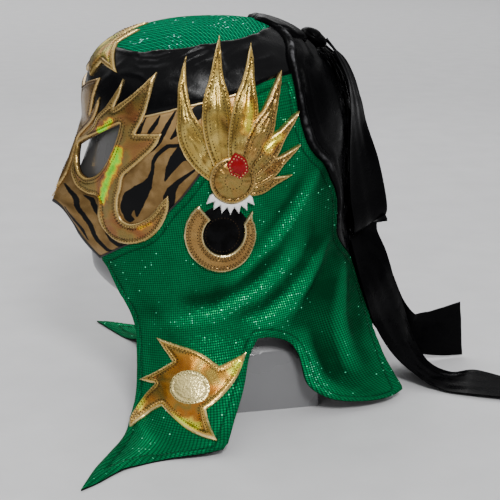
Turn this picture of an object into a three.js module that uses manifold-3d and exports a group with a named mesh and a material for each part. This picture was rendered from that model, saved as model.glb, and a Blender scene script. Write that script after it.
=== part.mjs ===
import * as THREE from 'three';
import Module from 'manifold-3d';
import { mergeVertices } from 'three/addons/utils/BufferGeometryUtils.js';

// A lucha libre mask of sewn panels, worn by a plain display head form.
// Millimetres, +Z up. The mask faces -Y, the wearer's left is +X and the
// origin is the middle of the underside of the head form, on the table.
//
// The mask is one smooth skin. A place on it is given by a bearing in degrees
// from the middle of the face (positive towards the wearer's left, 180 at the
// back lacing) and by a drop in millimetres, measured down the skin from the
// crown. Every panel and every sewn-on ornament is an outline in those two
// numbers, given a thickness and laid at its own height on the skin.

// Driving dimensions of the skin, in millimetres
const CROWN_HEIGHT = 296.5;
const BROW_HEIGHT = 235;
const BROW_DROP = 105;
const BROW_FRONT = 98.5;
const DOME_BACK_HEIGHT = 205;
const DOME_BACK = 104;
const DOME_SIDE_HEIGHT = 215;
const HALF_WIDTH = 80;
const SECTION_POWER = 2.2;
const DOME_POWER = 2.35;
const BACK_DOME_POWER = 2.42;
const SIDE_DOME_POWER = 2.3;
const FLOOR_DROP = 340;
const FLOOR_BEND = 32;
const CLOTH = 1.8;
const CLOTH_LIFT = 2.1;
const LEFT_FLAP_BEARING = 38;
const RIGHT_FLAP_BEARING = 71;
const REAR_LOBE_BEARING = 150;
const RIGHT_FLAP_LENGTH = 0.755;
const MM_PER_DEGREE = 1.5;

// Driving dimensions of what lies on the skin: lift is the height above it
const SEAM_GAP = 0.35;
const APPLIQUE = 1.2;
const APPLIQUE_INSET = 0.12;
const APPLIQUE_LIFT = 0.8;
const BRIDGE_LIFT = 1.1;
const FACE_APPLIQUE_LIFT = 2;
const FLAP_APPLIQUE_LIFT = 2.1;
const SIDE_APPLIQUE_LIFT = 2;
const LINING_LIFT = 0.7;
const LINING = 0.6;
const SECOND_GAP = 1.1;
const SECOND = 1.2;
const TONGUE_LIFT = -4.1;
const TONGUE = 0.8;
const LACE = 1;
const LACE_WIDTH = 8;
const LACE_PITCH = 24;
const LACE_ROWS = 7;
const LACE_TOP = 75;
const RIBBON = 1.2;

// Length of the flat facets along the skin
const PANEL_STEP = 22;
const FACE_STEP = 13;
const APPLIQUE_STEP = 16;
const FACE_APPLIQUE_STEP = 13;
const LACE_STEP = 20;
const TONGUE_STEP = 13;

// How far the skin reaches to the front, the back and the side at each height
const FRONT_REACH = [[0, 90], [30, 87], [64, 85], [90, 89], [122, 95], [140, 96], [157, 97], [172, 97],
  [190, 97], [205, 97.5], [222, 98.5], [235, 98.5]];
const BACK_REACH = [[0, 172], [30, 148], [45, 137], [60, 128], [77, 120], [100, 112], [133, 106],
  [168, 104], [205, 104]];
const SIDE_REACH = [[0, 92], [30, 88], [64, 81], [90, 76], [122, 75], [170, 79], [205, 80], [215, 80]];
const NOSE_REACH = [[110, 0], [117, 3], [122, 7], [128, 10], [135, 13], [141, 14.5], [148, 18], [154, 24],
  [159, 30], [167, 25.5], [173, 22.5], [180, 19], [186, 16], [192, 13], [198, 10.5], [204, 8],
  [210, 5.5], [216, 3], [222, 0]];
const NOSE_WIDTH = [[160, 25], [167, 28], [180, 34], [192, 38], [222, 44]];

// The right flap is swept back as it lies: degrees at each drop
const RIGHT_SWEEP = [[225, 0], [246, 9], [263, 14], [282, 17.5], [311, 19], [341, 18], [351, 16], [362, 13],
  [373, 9], [389, 4.5], [411, -2.3]];

// Seams and edges, as bearing in degrees and drop in millimetres, left half
const CROWN_SEAM = [[0, 58], [16, 60], [33, 63.5], [46, 61], [70, 56], [92, 51], [113, 46], [132, 39],
  [149.5, 34], [180, 30]];
const BROW_SEAM = [[0, 118], [15, 117], [30, 114], [47, 109], [58, 105], [74, 101], [86, 98], [98, 94]];
const SIDE_SEAM = [[98, 94], [109, 88], [118, 85], [126.5, 83]];
const CHEEK_SEAM = [[98, 94], [93, 108], [86, 123], [78, 139], [70, 155], [63, 168], [56, 179],
  [46.5, 197], [32.5, 207.5], [22, 216], [14, 223]];
const FACING_FRONT = [[149.5, 34], [140, 52], [130, 68], [126.5, 83]];
const FACING_SIDE = [[126.5, 83], [125, 108], [129, 130], [134, 141], [141, 151], [146, 162.5],
  [150.5, 172.5], [153, 184], [152.5, 196], [153, 208], [158, 220], [167, 232], [171, 240]];
const SLIT_EDGE = [[176.5, 32], [171.8, 60], [170, 90], [170, 120], [171.2, 160], [174, 200], [176, 240]];
const MOUTH_EDGE = [[0, 181], [3, 185], [4.8, 191], [6.6, 199], [8.4, 205], [10.3, 212], [12.2, 218],
  [14, 223]];
const TONGUE_OUTLINE = [[165, 62], [195, 62], [195, 234], [165, 234]];
const SKIRT_REAR = [[171, 240], [169, 263], [163, 293], [158.5, 323], [154.5, 343]];
const SKIRT_HEM = [[154.5, 343], [148, 346], [140, 343.5], [131.5, 336], [127, 328], [123, 315], [121.5, 294],
  [118.5, 283], [111, 277.5], [102, 276.5], [96, 287.5], [92, 302], [86.5, 324], [84.5, 347]];
const FLAP_TIP = [[84.5, 347], [76, 356], [70, 368], [66.5, 389], [66, 402], [66.3, 418], [66, 434],
  [59, 405], [54.5, 384], [51, 369], [48, 354], [45, 341]];
const SKIRT_FRONT = [[45, 341], [39.5, 311], [36, 282], [32, 263], [24, 246], [14, 223]];

// Ornament outlines that follow the skin, left half
const EYE_HOLE = [[3.5, 137], [10, 132], [20, 125.5], [34.5, 115.5], [33, 124], [30, 134], [26, 144],
  [22, 151], [16.5, 158], [11.5, 161], [8, 157.5], [5, 148]];
const EYE_SURROUND = [[3, 133], [9, 128], [17, 119], [20.2, 112], [28.2, 102], [32, 93], [33.5, 86],
  [33.5, 96], [31, 105], [40, 96], [49.5, 80], [48.5, 97], [46, 110], [42, 122], [54.5, 121], [51, 131],
  [44.5, 141], [38.5, 149], [34.5, 155], [33, 164], [31, 173], [30.8, 181], [32.5, 187], [37, 189.5],
  [42.5, 187], [48, 181], [53, 171.5], [56.6, 166], [56.6, 176], [53.5, 187], [48.5, 197], [42, 203],
  [34, 205.5], [26, 203.5], [20.5, 197], [18.8, 188], [18.6, 178], [16.5, 174], [11.5, 173], [7.5, 169],
  [5, 163], [3, 156], [2.6, 146]];
const BRIDGE_FLAMES = [[0, 178], [0.6, 170], [1.6, 160], [1.6, 148], [1.8, 134], [7.2, 126], [15.6, 117],
  [19.4, 110], [22, 100], [13.4, 113], [18, 97], [19.5, 87], [8, 92], [0, 96]];
const FOREHEAD_STAR = [[0, 30], [5, 50], [16, 40], [14, 56], [29, 82], [14.2, 75], [10, 87], [0, 80]];

// The side ornament is laid out in millimetres around its own middle
const PLUME_BEARING = 92;
const PLUME_DROP = 140;
const PLUME_SCALE = 1.45;
const FEATHERS = [
  { root: [-16, -12], bend: [-44, 18], tip: [-42, 74], width: 21 },
  { root: [-10, -8], bend: [-22, 46], tip: [-10, 93], width: 23 },
  { root: [-2, -8], bend: [4, 44], tip: [21, 82], width: 21 },
  { root: [2, -10], bend: [20, 30], tip: [38, 58], width: 18 },
  { root: [4, -14], bend: [28, 12], tip: [46, 32], width: 16 },
  { root: [4, -18], bend: [30, -6], tip: [47, 8], width: 15 },
  { root: [0, -22], bend: [24, -20], tip: [42, -14], width: 14 },
];
const HUB = { centre: [-5, -14], radius: 17 };
const SCROLL = { centre: [-12, -56], inner: 15, outer: 29, start: 128, end: 385, tip: 12 };
const TEETH = { inner: 17.5, valley: 20.5, tip: 26, start: 215, end: 318, count: 7 };
const GEM = [[-4, 6], [4, 1], [6, -8], [0, -14], [-8, -10], [-10, -2]];

// The five-rayed star on each front flap, and the round disc in its middle
const FLAP_STAR = [[49, 276], [61, 279.5], [71, 283.5], [81, 292.5], [94.5, 285], [89, 299], [83, 309],
  [76, 319], [78, 328], [81.5, 339], [74, 335], [66, 328.5], [58, 321.5], [53.5, 330], [49, 349],
  [46.2, 340], [46, 329], [48, 318], [52, 308], [42, 309], [49, 302], [59, 291], [54, 284]];
const STAR_DISC = { middle: [68.5, 306.5], wide: 8.8, high: 11 };

// The tie ribbon: each stop is x, y, z, the direction of its width, and its width there
const KNOT = [81, 280.5];
const LOOP = [[12, 88, 279.5, 1, -0.2, 0.3, 12], [19, 97, 267, 1, -0.35, 0, 22],
  [22, 104, 252, 1, -0.37, 0, 26], [21, 109.5, 232, 0.9, -0.45, 0.04, 28],
  [17.4, 113.5, 212, 0.75, -0.66, -0.03, 30], [18.6, 118.5, 185, 0.5, -0.87, 0.04, 31],
  [17.6, 124, 158, 0.4, -0.92, -0.03, 32], [17, 126, 142, 0.35, -0.93, 0, 31],
  [12, 126.5, 135, 0.2, -0.97, 0, 29],
  [7, 126, 142, 0.1, -1, 0, 27], [7, 124, 158, 0.1, -1, 0, 25], [7, 121, 185, 0.12, -1, 0, 20],
  [8, 117.5, 212, 0.2, -1, 0, 13], [10, 112, 236, 0.8, -0.5, 0, 10], [11, 104.5, 254, 1, -0.3, 0, 12],
  [9, 93.5, 269, 1, -0.2, 0, 12]];
const LEFT_END = [[6, 87, 271.5, 1, 0, 0, 8], [11, 95.3, 261, 1, -0.25, 0, 14],
  [15, 102.3, 246, 1, -0.25, 0, 18], [15, 106.8, 226, 1, -0.25, 0.04, 18],
  [15, 107.8, 200, 1, -0.25, -0.04, 18],
  [15, 107.8, 175, 1, -0.25, 0.04, 18],
  [16, 108.2, 152, 1, -0.25, 0, 20], [16, 109, 134, 1, -0.25, 0, 22], [19, 114, 120, 0.9, -0.45, 0, 32],
  [21, 123, 102, 0.7, -0.7, 0, 42], [21, 132, 80, 0.6, -0.8, 0, 44], [20, 144, 54, 0.6, -0.8, 0, 44],
  [23, 158, 26, 0.75, -0.65, 0, 45], [31, 172, 8, 0.9, -0.45, 0, 46], [42, 186, 2.6, 0.9, -0.42, 0.05, 47],
  [56, 204, 4.6, 0.9, -0.43, -0.06, 48], [73, 232, 2.4, 0.9, -0.43, 0.05, 48]];
const RIGHT_END = [[-6, 87, 271.5, 1, 0, 0, 8], [-11, 95.3, 261, 1, 0.25, 0, 14],
  [-15, 102.3, 246, 1, 0.25, 0, 18], [-15, 106.8, 226, 1, 0.25, 0, 18], [-15, 107.8, 200, 1, 0.25, 0, 18],
  [-15, 107.8, 175, 1, 0.25, 0, 18], [-16, 108.2, 152, 1, 0.25, 0, 20], [-16, 109, 134, 1, 0.25, 0, 22],
  [-17, 114, 120, 0.9, 0.45, 0.05, 30], [-17, 123, 103, 0.75, 0.6, 0.1, 36], [-13, 137, 78, 0.5, 0.8, 0.3, 40],
  [-13, 153, 48, 0.5, 0.7, 0.5, 36], [-12, 169, 29.5, 0.2, 0.6, 0.8, 34], [-12.5, 187.6, 25, 0, 0.2, 1, 38],
  [-13, 204.5, 24.6, 0, 0, 1, 44], [-14, 222.5, 26, 0, -0.1, 1, 49]];

// Shoulders and head of the display form: height, front, back, half width
const FORM_SECTIONS = [[0, -60, 78, 112], [15, -60, 77, 102], [28, -60, 75, 88], [38, -59, 73, 76],
  [47, -58, 71, 66], [56, -58, 69, 60], [68, -60, 67, 57], [80, -69, 68, 58], [88, -80, 71, 62],
  [96, -89, 77, 65.5], [106, -96, 83, 68.5], [120, -97.5, 90, 71], [140, -95, 97, 73.5],
  [165, -95, 98.8, 76], [200, -94, 98.8, 77], [222, -93, 97.8, 76.6],
  [238, -92.5, 94.5, 74.5], [252, -88, 87.6, 70.5], [265, -80, 78, 64], [276, -70, 67, 55.5],
  [285, -59, 54, 45], [291, -42, 39, 32]];
const FORM_TOP = 294;
const FORM_CUT = 66;
const FORM_SEGMENTS = 26;
const FORM_MIDDLE = [[0, 32], [47, 38], [68, 20], [90, 0], [300, 0]];
// How square the front half of the form is at each height: the chin is pointed
const FORM_FRONT_POWER = [[60, 2.2], [80, 1.9], [95, 1.55], [125, 1.6], [150, 1.9], [175, 2.2]];

const FOIL = { color: 0xb08a3e, roughness: 0.28, metalness: 0.85 };
const FOIL_LIGHT = { color: 0xd6b874, roughness: 0.3, metalness: 0.85 };
const GREEN = { color: 0x05683c, roughness: 0.4, metalness: 0.3 };
const SATIN = { color: 0x111114, roughness: 0.45, metalness: 0 };
const TIGER = { color: 0x8a6a34, roughness: 0.4, metalness: 0.5 };
const PLASTIC = { color: 0x8b8b8d, roughness: 0.35, metalness: 0 };
const WHITE = { color: 0xe8e6e0, roughness: 0.4, metalness: 0 };
const RED = { color: 0xa01018, roughness: 0.4, metalness: 0.1 };

const wasm = await Module();
wasm.setup();
const mask = new THREE.Group();

function addPiece(name, geometry, finish) {
  const mesh = new THREE.Mesh(geometry, new THREE.MeshStandardMaterial(finish));
  mesh.name = name;
  mask.add(mesh);
}

function closedMesh(points, faces) {
  const geometry = new THREE.BufferGeometry();
  const numbers = points.flatMap((p) => [p.x, p.y, p.z]);
  geometry.setAttribute('position', new THREE.Float32BufferAttribute(numbers, 3));
  geometry.setIndex(faces.flat());
  geometry.computeVertexNormals();
  return geometry;
}

function bare(geometry) {
  geometry.deleteAttribute('normal');
  geometry.deleteAttribute('uv');
  return geometry;
}

function lookUp(table, x) {
  if (x <= table[0][0]) return table[0][1];
  for (let i = 1; i < table.length; i += 1) {
    if (x <= table[i][0]) {
      const share = (x - table[i - 1][0]) / (table[i][0] - table[i - 1][0]);
      return THREE.MathUtils.lerp(table[i - 1][1], table[i][1], share);
    }
  }
  return table[table.length - 1][1];
}

function dome(height, start, reach, power) {
  const share = THREE.MathUtils.clamp((height - start) / (CROWN_HEIGHT - start), 0, 1);
  return reach * Math.max(1 - share ** power, 0) ** (1 / power);
}

function heightAt(drop) {
  if (drop >= BROW_DROP) return BROW_HEIGHT - (drop - BROW_DROP);
  const turn = (drop / BROW_DROP) * Math.PI / 2;
  return BROW_HEIGHT + (CROWN_HEIGHT - BROW_HEIGHT) * Math.cos(turn) ** (2 / DOME_POWER);
}

// The nose ridge above its tip, and the stretched cloth beside the mouth below
function noseShare(x, height) {
  const off = Math.abs(x);
  const ridge = Math.max(1 - off / lookUp(NOSE_WIDTH, height), 0) ** 1.5;
  const lip = 1 - THREE.MathUtils.smoothstep(off, 12, 38);
  return THREE.MathUtils.lerp(lip, ridge, THREE.MathUtils.smoothstep(height, 144, 172));
}

function skinPoint(bearing, drop) {
  const around = THREE.MathUtils.euclideanModulo(bearing + 180, 360) - 180;
  const side = around >= 0 ? 1 : -1;
  const off = Math.abs(around);
  const { smoothstep, lerp } = THREE.MathUtils;
  const sweep = side < 0 ? lookUp(RIGHT_SWEEP, drop) * (1 - smoothstep(off, 92, 150)) : 0;
  const turn = THREE.MathUtils.degToRad(around - sweep);
  const [sine, cosine] = [Math.sin(turn), Math.cos(turn)];
  const height = heightAt(Math.min(drop, FLOOR_DROP));
  const front = height > BROW_HEIGHT
    ? dome(height, BROW_HEIGHT, BROW_FRONT, DOME_POWER) : lookUp(FRONT_REACH, height);
  const back = height > DOME_BACK_HEIGHT
    ? dome(height, DOME_BACK_HEIGHT, DOME_BACK, BACK_DOME_POWER) : lookUp(BACK_REACH, height);
  const wide = height > DOME_SIDE_HEIGHT
    ? dome(height, DOME_SIDE_HEIGHT, HALF_WIDTH, SIDE_DOME_POWER) : lookUp(SIDE_REACH, height);
  const reach = cosine > 0 ? front : back;
  const across = (Math.abs(sine) / Math.max(wide, 0.001)) ** SECTION_POWER;
  const along = (Math.abs(cosine) / Math.max(reach, 0.001)) ** SECTION_POWER;
  const low = Math.max(1 - height / 70, 0) ** 1.5;
  const flare = low * (8 + 36 * smoothstep(off, 36, 84)) * (1 - smoothstep(off, 100, 122))
    * smoothstep(off, 10, 30);
  const radius = (across + along) ** (-1 / SECTION_POWER) + flare;
  const x = radius * sine;
  const y = -radius * cosine - (cosine > 0 ? lookUp(NOSE_REACH, height) * noseShare(x, height) : 0);
  const past = drop - FLOOR_DROP;
  let run = 0;
  let lift = height;
  if (past > -FLOOR_BEND) {
    run = past < FLOOR_BEND ? (past + FLOOR_BEND) ** 2 / (4 * FLOOR_BEND) : past;
    lift = past < FLOOR_BEND ? (FLOOR_BEND - past) ** 2 / (4 * FLOOR_BEND) : 0;
  }
  const flapBearing = side > 0 ? LEFT_FLAP_BEARING : RIGHT_FLAP_BEARING;
  const heading = THREE.MathUtils.degToRad(lerp(flapBearing, REAR_LOBE_BEARING, smoothstep(off, 100, 122)));
  return new THREE.Vector3(
    x + side * Math.sin(heading) * run,
    y - Math.cos(heading) * run,
    lift + CLOTH_LIFT,
  );
}

function raisedPoint(bearing, drop, lift) {
  const ahead = skinPoint(bearing + 1, drop).sub(skinPoint(bearing - 1, drop));
  const down = skinPoint(bearing, drop + 1.5).sub(skinPoint(bearing, Math.max(drop - 1.5, 0.01)));
  const outward = down.cross(ahead).normalize();
  return skinPoint(bearing, drop).addScaledVector(outward, lift);
}

const flat = (outline) => outline.map(([bearing, drop]) => [bearing * MM_PER_DEGREE, drop]);
const mirrored = (outline) => outline.map(([bearing, drop]) => [-bearing, drop]).reverse();
const both = (half) => [...half, ...mirrored(half).filter(([bearing]) => Math.abs(bearing) > 0.01)];

// Moves every side of an outline inwards (or outwards, when negative)
function drawnIn(outline, inset) {
  const points = flat(outline).map(([u, v]) => new THREE.Vector2(u, v));
  const turn = THREE.ShapeUtils.area(points) > 0 ? 1 : -1;
  return points.map((point, i) => {
    const before = points[(i + points.length - 1) % points.length];
    const after = points[(i + 1) % points.length];
    const one = point.clone().sub(before).normalize();
    const two = after.clone().sub(point).normalize();
    const inwardOne = new THREE.Vector2(-one.y, one.x).multiplyScalar(turn);
    const inwardTwo = new THREE.Vector2(-two.y, two.x).multiplyScalar(turn);
    const inward = inwardOne.clone().add(inwardTwo).normalize();
    return point.clone().addScaledVector(inward, inset / Math.max(inward.dot(inwardOne), 0.35));
  });
}

function toSolid(geometry) {
  const merged = mergeVertices(bare(geometry), 1e-5);
  return new wasm.Manifold(new wasm.Mesh({
    numProp: 3,
    vertProperties: new Float32Array(merged.attributes.position.array),
    triVerts: new Uint32Array(merged.index.array),
  }));
}

function prism(points) {
  const geometry = new THREE.ExtrudeGeometry(new THREE.Shape(points), { depth: 60, bevelEnabled: false });
  geometry.translate(0, 0, -20);
  return toSolid(geometry);
}

// A gently dished slab of square cells, so that no two cells are in one plane
const dish = (u, v) => 0.00021 * ((u - 400) ** 2 + (v + 300) ** 2) * 0.05;

function slab([u0, u1, v0, v1], step) {
  const [firstU, firstV] = [Math.floor(u0 / step) - 1, Math.floor(v0 / step) - 1];
  const countU = Math.ceil(u1 / step) + 1 - firstU;
  const countV = Math.ceil(v1 / step) + 1 - firstV;
  const sheet = new THREE.BoxGeometry(countU * step, countV * step, 1, countU, countV, 1);
  sheet.translate((firstU + countU / 2) * step, (firstV + countV / 2) * step, 0);
  const position = sheet.attributes.position;
  for (let i = 0; i < position.count; i += 1) {
    position.setZ(i, position.getZ(i) + dish(position.getX(i), position.getY(i)));
  }
  return toSolid(sheet);
}

// A piece of cloth on the skin, from `lift` to `lift + thickness` above it:
// joined outlines, less the holes, with the seam gap taken off every edge
function clothPiece(outlines, holes, { step, lift, thickness, inset = SEAM_GAP }) {
  const solids = outlines.map((outline) => drawnIn(outline, inset));
  const us = solids.flat().map((point) => point.x);
  const vs = solids.flat().map((point) => point.y);
  let cloth = solids.map(prism).reduce((sum, next) => sum.add(next));
  for (const hole of holes) cloth = cloth.subtract(prism(drawnIn(hole, -inset)));
  cloth = cloth.intersect(slab([Math.min(...us), Math.max(...us), Math.min(...vs), Math.max(...vs)], step));
  const mesh = cloth.getMesh();
  const points = [];
  for (let i = 0; i < mesh.numVert; i += 1) {
    const [u, v, w] = mesh.vertProperties.slice(i * mesh.numProp, i * mesh.numProp + 3);
    const share = w - dish(u, v) > 0 ? 1 : 0;
    points.push(raisedPoint(u / MM_PER_DEGREE, v, lift + thickness * share));
  }
  const faces = [];
  for (let i = 0; i < mesh.numTri; i += 1) {
    const [a, b, c] = mesh.triVerts.slice(3 * i, 3 * i + 3);
    faces.push([a, c, b]);
  }
  return closedMesh(points, faces);
}

// The crown cap, in rings down from the top point
function crownCap(rings, segments) {
  const levels = [0, -CLOTH];
  const points = [];
  const faces = [];
  for (const lift of levels) {
    points.push(skinPoint(0, 0.01).setX(0).setY(0).add(new THREE.Vector3(0, 0, lift)));
    for (let ring = 1; ring <= rings; ring += 1) {
      for (let i = 0; i < segments; i += 1) {
        const bearing = (i / segments) * 360 - 180;
        const edge = lookUp(CROWN_SEAM, Math.abs(bearing)) - SEAM_GAP;
        points.push(raisedPoint(bearing, (edge * ring) / rings, lift));
      }
    }
  }
  const layer = 1 + rings * segments;
  const at = (level, ring, i) => level * layer + (ring ? 1 + (ring - 1) * segments + (i % segments) : 0);
  for (let i = 0; i < segments; i += 1) {
    for (let ring = 0; ring < rings; ring += 1) {
      const outer = [at(0, ring, i), at(0, ring + 1, i), at(0, ring + 1, i + 1), at(0, ring, i + 1)];
      const inner = [at(1, ring, i), at(1, ring, i + 1), at(1, ring + 1, i + 1), at(1, ring + 1, i)];
      faces.push([outer[0], outer[1], outer[2]], [inner[0], inner[2], inner[3]]);
      if (ring) faces.push([outer[0], outer[2], outer[3]], [inner[0], inner[1], inner[2]]);
    }
    const [a, b] = [at(0, rings, i), at(0, rings, i + 1)];
    const [c, d] = [at(1, rings, i), at(1, rings, i + 1)];
    faces.push([a, c, d], [a, d, b]);
  }
  return closedMesh(points, faces);
}

// A flat ribbon along a path through the stops
function ribbonStrip(stops, steps) {
  const middles = stops.map(([x, y, z]) => new THREE.Vector3(x, y, z));
  const path = new THREE.CatmullRomCurve3(middles, false, 'centripetal');
  const ways = stops.map(([, , , wx, wy, wz]) => new THREE.Vector3(wx, wy, wz).normalize());
  const points = [];
  const faces = [];
  for (let i = 0; i <= steps; i += 1) {
    const share = i / steps;
    const place = share * (stops.length - 1);
    const lower = Math.min(Math.floor(place), stops.length - 2);
    const way = ways[lower].clone().lerp(ways[lower + 1], place - lower).normalize();
    const middle = path.getPoint(share);
    const normal = path.getTangent(share).cross(way).normalize();
    const width = THREE.MathUtils.lerp(stops[lower][6], stops[lower + 1][6], place - lower);
    const across = way.multiplyScalar(width / 2);
    for (const [a, b] of [[1, 1], [-1, 1], [-1, -1], [1, -1]]) {
      points.push(middle.clone().addScaledVector(across, a).addScaledVector(normal, (b * RIBBON) / 2));
    }
  }
  const last = 4 * steps;
  for (let i = 0; i < steps; i += 1) {
    for (let k = 0; k < 4; k += 1) {
      const [a, b] = [4 * i + k, 4 * i + ((k + 1) % 4)];
      // the two broad sides are split the same way, so that a twist keeps them apart
      if (k === 2) faces.push([a, b, a + 4], [b, b + 4, a + 4]);
      else faces.push([a, b + 4, a + 4], [a, b, b + 4]);
    }
  }
  faces.push([0, 2, 1], [0, 3, 2], [last, last + 1, last + 2], [last, last + 2, last + 3]);
  return closedMesh(points, faces);
}

// Outlines of the side ornament, from its own millimetres to the skin
const onSide = (points) => points.map(([x, y]) => [PLUME_BEARING + x / PLUME_SCALE, PLUME_DROP - y]);

function featherOutline({ root, bend, tip, width }) {
  const spine = new THREE.QuadraticBezierCurve(...[root, bend, tip].map(([x, y]) => new THREE.Vector2(x, y)));
  const left = [];
  const right = [];
  const stops = 6;
  for (let i = 0; i < stops; i += 1) {
    const share = i / stops;
    const half = (width / 2) * (0.6 + 0.4 * Math.sin(Math.PI * Math.min(share * 1.6, 1)))
      * Math.min(1, 1.9 * (1 - share)) ** 0.8;
    const point = spine.getPoint(share);
    const way = spine.getTangent(share);
    left.push([point.x - way.y * half, point.y + way.x * half]);
    right.unshift([point.x + way.y * half, point.y - way.x * half]);
  }
  return onSide([...left, tip, ...right]);
}

function scrollOutline({ centre, inner, outer, start, end, tip }) {
  const outside = [];
  const inside = [];
  const stops = 11;
  for (let i = 0; i <= stops; i += 1) {
    const share = i / stops;
    const angle = THREE.MathUtils.degToRad(THREE.MathUtils.lerp(start, end, share));
    const way = [Math.cos(angle), Math.sin(angle)];
    const middle = (inner + outer) / 2;
    const half = ((outer - inner) / 2) * (1 - 0.45 * share ** 3);
    outside.push([centre[0] + way[0] * (middle + half), centre[1] + way[1] * (middle + half)]);
    inside.unshift([centre[0] + way[0] * (middle - half), centre[1] + way[1] * (middle - half)]);
  }
  const angle = THREE.MathUtils.degToRad(end + tip);
  const point = [centre[0] + Math.cos(angle) * outer, centre[1] + Math.sin(angle) * outer];
  return onSide([...outside, point, ...inside]);
}

// The white teeth below the hub: a saw-toothed arc
function teethOutline({ inner, valley, tip, start, end, count }) {
  const edge = [];
  const back = [];
  for (let i = 0; i <= 2 * count; i += 1) {
    const angle = THREE.MathUtils.degToRad(THREE.MathUtils.lerp(start, end, i / (2 * count)));
    const [x, y] = [Math.cos(angle), Math.sin(angle)];
    const reach = i % 2 ? tip : valley;
    edge.push([HUB.centre[0] + x * reach, HUB.centre[1] + y * reach]);
    if (i % 2 === 0) back.unshift([HUB.centre[0] + x * inner, HUB.centre[1] + y * inner]);
  }
  return onSide([...edge, ...back]);
}

function roundOutline({ centre, radius }, count = 14) {
  return onSide(Array.from({ length: count }, (_, i) => {
    const angle = (i / count) * 2 * Math.PI;
    return [centre[0] + radius * Math.cos(angle), centre[1] + radius * Math.sin(angle)];
  }));
}

const discOutline = Array.from({ length: 12 }, (_, i) => {
  const turn = (i / 12) * 2 * Math.PI;
  const { middle, wide, high } = STAR_DISC;
  return [middle[0] + wide * Math.cos(turn), middle[1] + high * Math.sin(turn)];
});

// The lacing: one ribbon that runs to and fro across the slit
function laceOutlines() {
  const half = LACE_WIDTH / 2;
  const halfDegrees = half / MM_PER_DEGREE;
  const slitByDrop = SLIT_EDGE.map(([bearing, drop]) => [drop, 180 - bearing]);
  const outlines = [];
  for (let row = 0; row < LACE_ROWS; row += 1) {
    const drop = LACE_TOP + row * LACE_PITCH;
    const reach = lookUp(slitByDrop, drop) + 8;
    outlines.push([[180 - reach, drop - half], [180 + reach, drop - half],
      [180 + reach, drop + half], [180 - reach, drop + half]]);
    if (row + 1 === LACE_ROWS) break;
    const middle = 180 + (row % 2 ? -1 : 1) * (reach - halfDegrees);
    outlines.push([[middle - halfDegrees, drop], [middle + halfDegrees, drop],
      [middle + halfDegrees, drop + LACE_PITCH], [middle - halfDegrees, drop + LACE_PITCH]]);
  }
  return outlines;
}

// The display head form: stacked sections, with flat cuts at both shoulders
function headForm() {
  const points = [];
  const faces = [];
  for (const [height, front, back, wide] of FORM_SECTIONS) {
    const middle = lookUp(FORM_MIDDLE, height);
    for (let i = 0; i < FORM_SEGMENTS; i += 1) {
      const turn = (i / FORM_SEGMENTS) * 2 * Math.PI;
      const [sine, cosine] = [Math.sin(turn), Math.cos(turn)];
      const reach = cosine > 0 ? back - middle : middle - front;
      const power = cosine > 0 ? SECTION_POWER : lookUp(FORM_FRONT_POWER, height);
      const radius = ((Math.abs(sine) / wide) ** power + (Math.abs(cosine) / reach) ** power) ** (-1 / power);
      const x = THREE.MathUtils.clamp(radius * sine, -FORM_CUT, FORM_CUT);
      points.push(new THREE.Vector3(height < 60 ? x : radius * sine, middle + radius * cosine, height));
    }
  }
  const rows = FORM_SECTIONS.length;
  for (let row = 0; row + 1 < rows; row += 1) {
    for (let i = 0; i < FORM_SEGMENTS; i += 1) {
      const [a, b] = [row * FORM_SEGMENTS + i, row * FORM_SEGMENTS + ((i + 1) % FORM_SEGMENTS)];
      const [c, d] = [a + FORM_SEGMENTS, b + FORM_SEGMENTS];
      faces.push([a, d, b], [a, c, d]);
    }
  }
  const bottom = points.length;
  points.push(new THREE.Vector3(0, FORM_MIDDLE[0][1], 0), new THREE.Vector3(0, 0, FORM_TOP));
  const top = (rows - 1) * FORM_SEGMENTS;
  for (let i = 0; i < FORM_SEGMENTS; i += 1) {
    const next = (i + 1) % FORM_SEGMENTS;
    faces.push([bottom, i, next], [bottom + 1, top + next, top + i]);
  }
  return closedMesh(points, faces);
}

addPiece('display_head_form', headForm(), PLASTIC);
addPiece('crown_panel', crownCap(4, 26), GREEN);

const PANEL = { step: PANEL_STEP, lift: -CLOTH, thickness: CLOTH };
const FACE = { ...PANEL, step: FACE_STEP };
const ORNAMENT = { step: APPLIQUE_STEP, lift: APPLIQUE_LIFT, thickness: APPLIQUE, inset: APPLIQUE_INSET };
const BRIDGE_ORNAMENT = { ...ORNAMENT, lift: BRIDGE_LIFT, step: FACE_APPLIQUE_STEP };
const FACE_ORNAMENT = { ...ORNAMENT, lift: FACE_APPLIQUE_LIFT, step: FACE_APPLIQUE_STEP };
const SIDE_ORNAMENT = { ...ORNAMENT, lift: SIDE_APPLIQUE_LIFT };
const SIDE_LINING = { ...ORNAMENT, lift: LINING_LIFT, thickness: LINING };
const FLAP_ORNAMENT = { ...ORNAMENT, lift: FLAP_APPLIQUE_LIFT };
const FLAT_LACE = { step: LACE_STEP, lift: APPLIQUE_LIFT, thickness: LACE, inset: 0 };
const INNER_TONGUE = { step: TONGUE_STEP, lift: TONGUE_LIFT, thickness: TONGUE, inset: 0 };
const onTop = (under) => ({ ...under, lift: under.lift + under.thickness + SECOND_GAP, thickness: SECOND });

const bandHalf = [...CROWN_SEAM.filter(([bearing]) => bearing < 150), ...FACING_FRONT.slice(1),
  ...SIDE_SEAM.slice(0, -1).reverse(), ...BROW_SEAM.slice(0, -1).reverse()];
addPiece('forehead_band', clothPiece([both(bandHalf)], [], PANEL), SATIN);

const faceHalf = [...BROW_SEAM, ...CHEEK_SEAM.slice(1), ...MOUTH_EDGE.slice(0, -1).reverse()];
addPiece('face_panel', clothPiece([both(faceHalf)], [EYE_HOLE, mirrored(EYE_HOLE)], FACE), TIGER);

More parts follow.
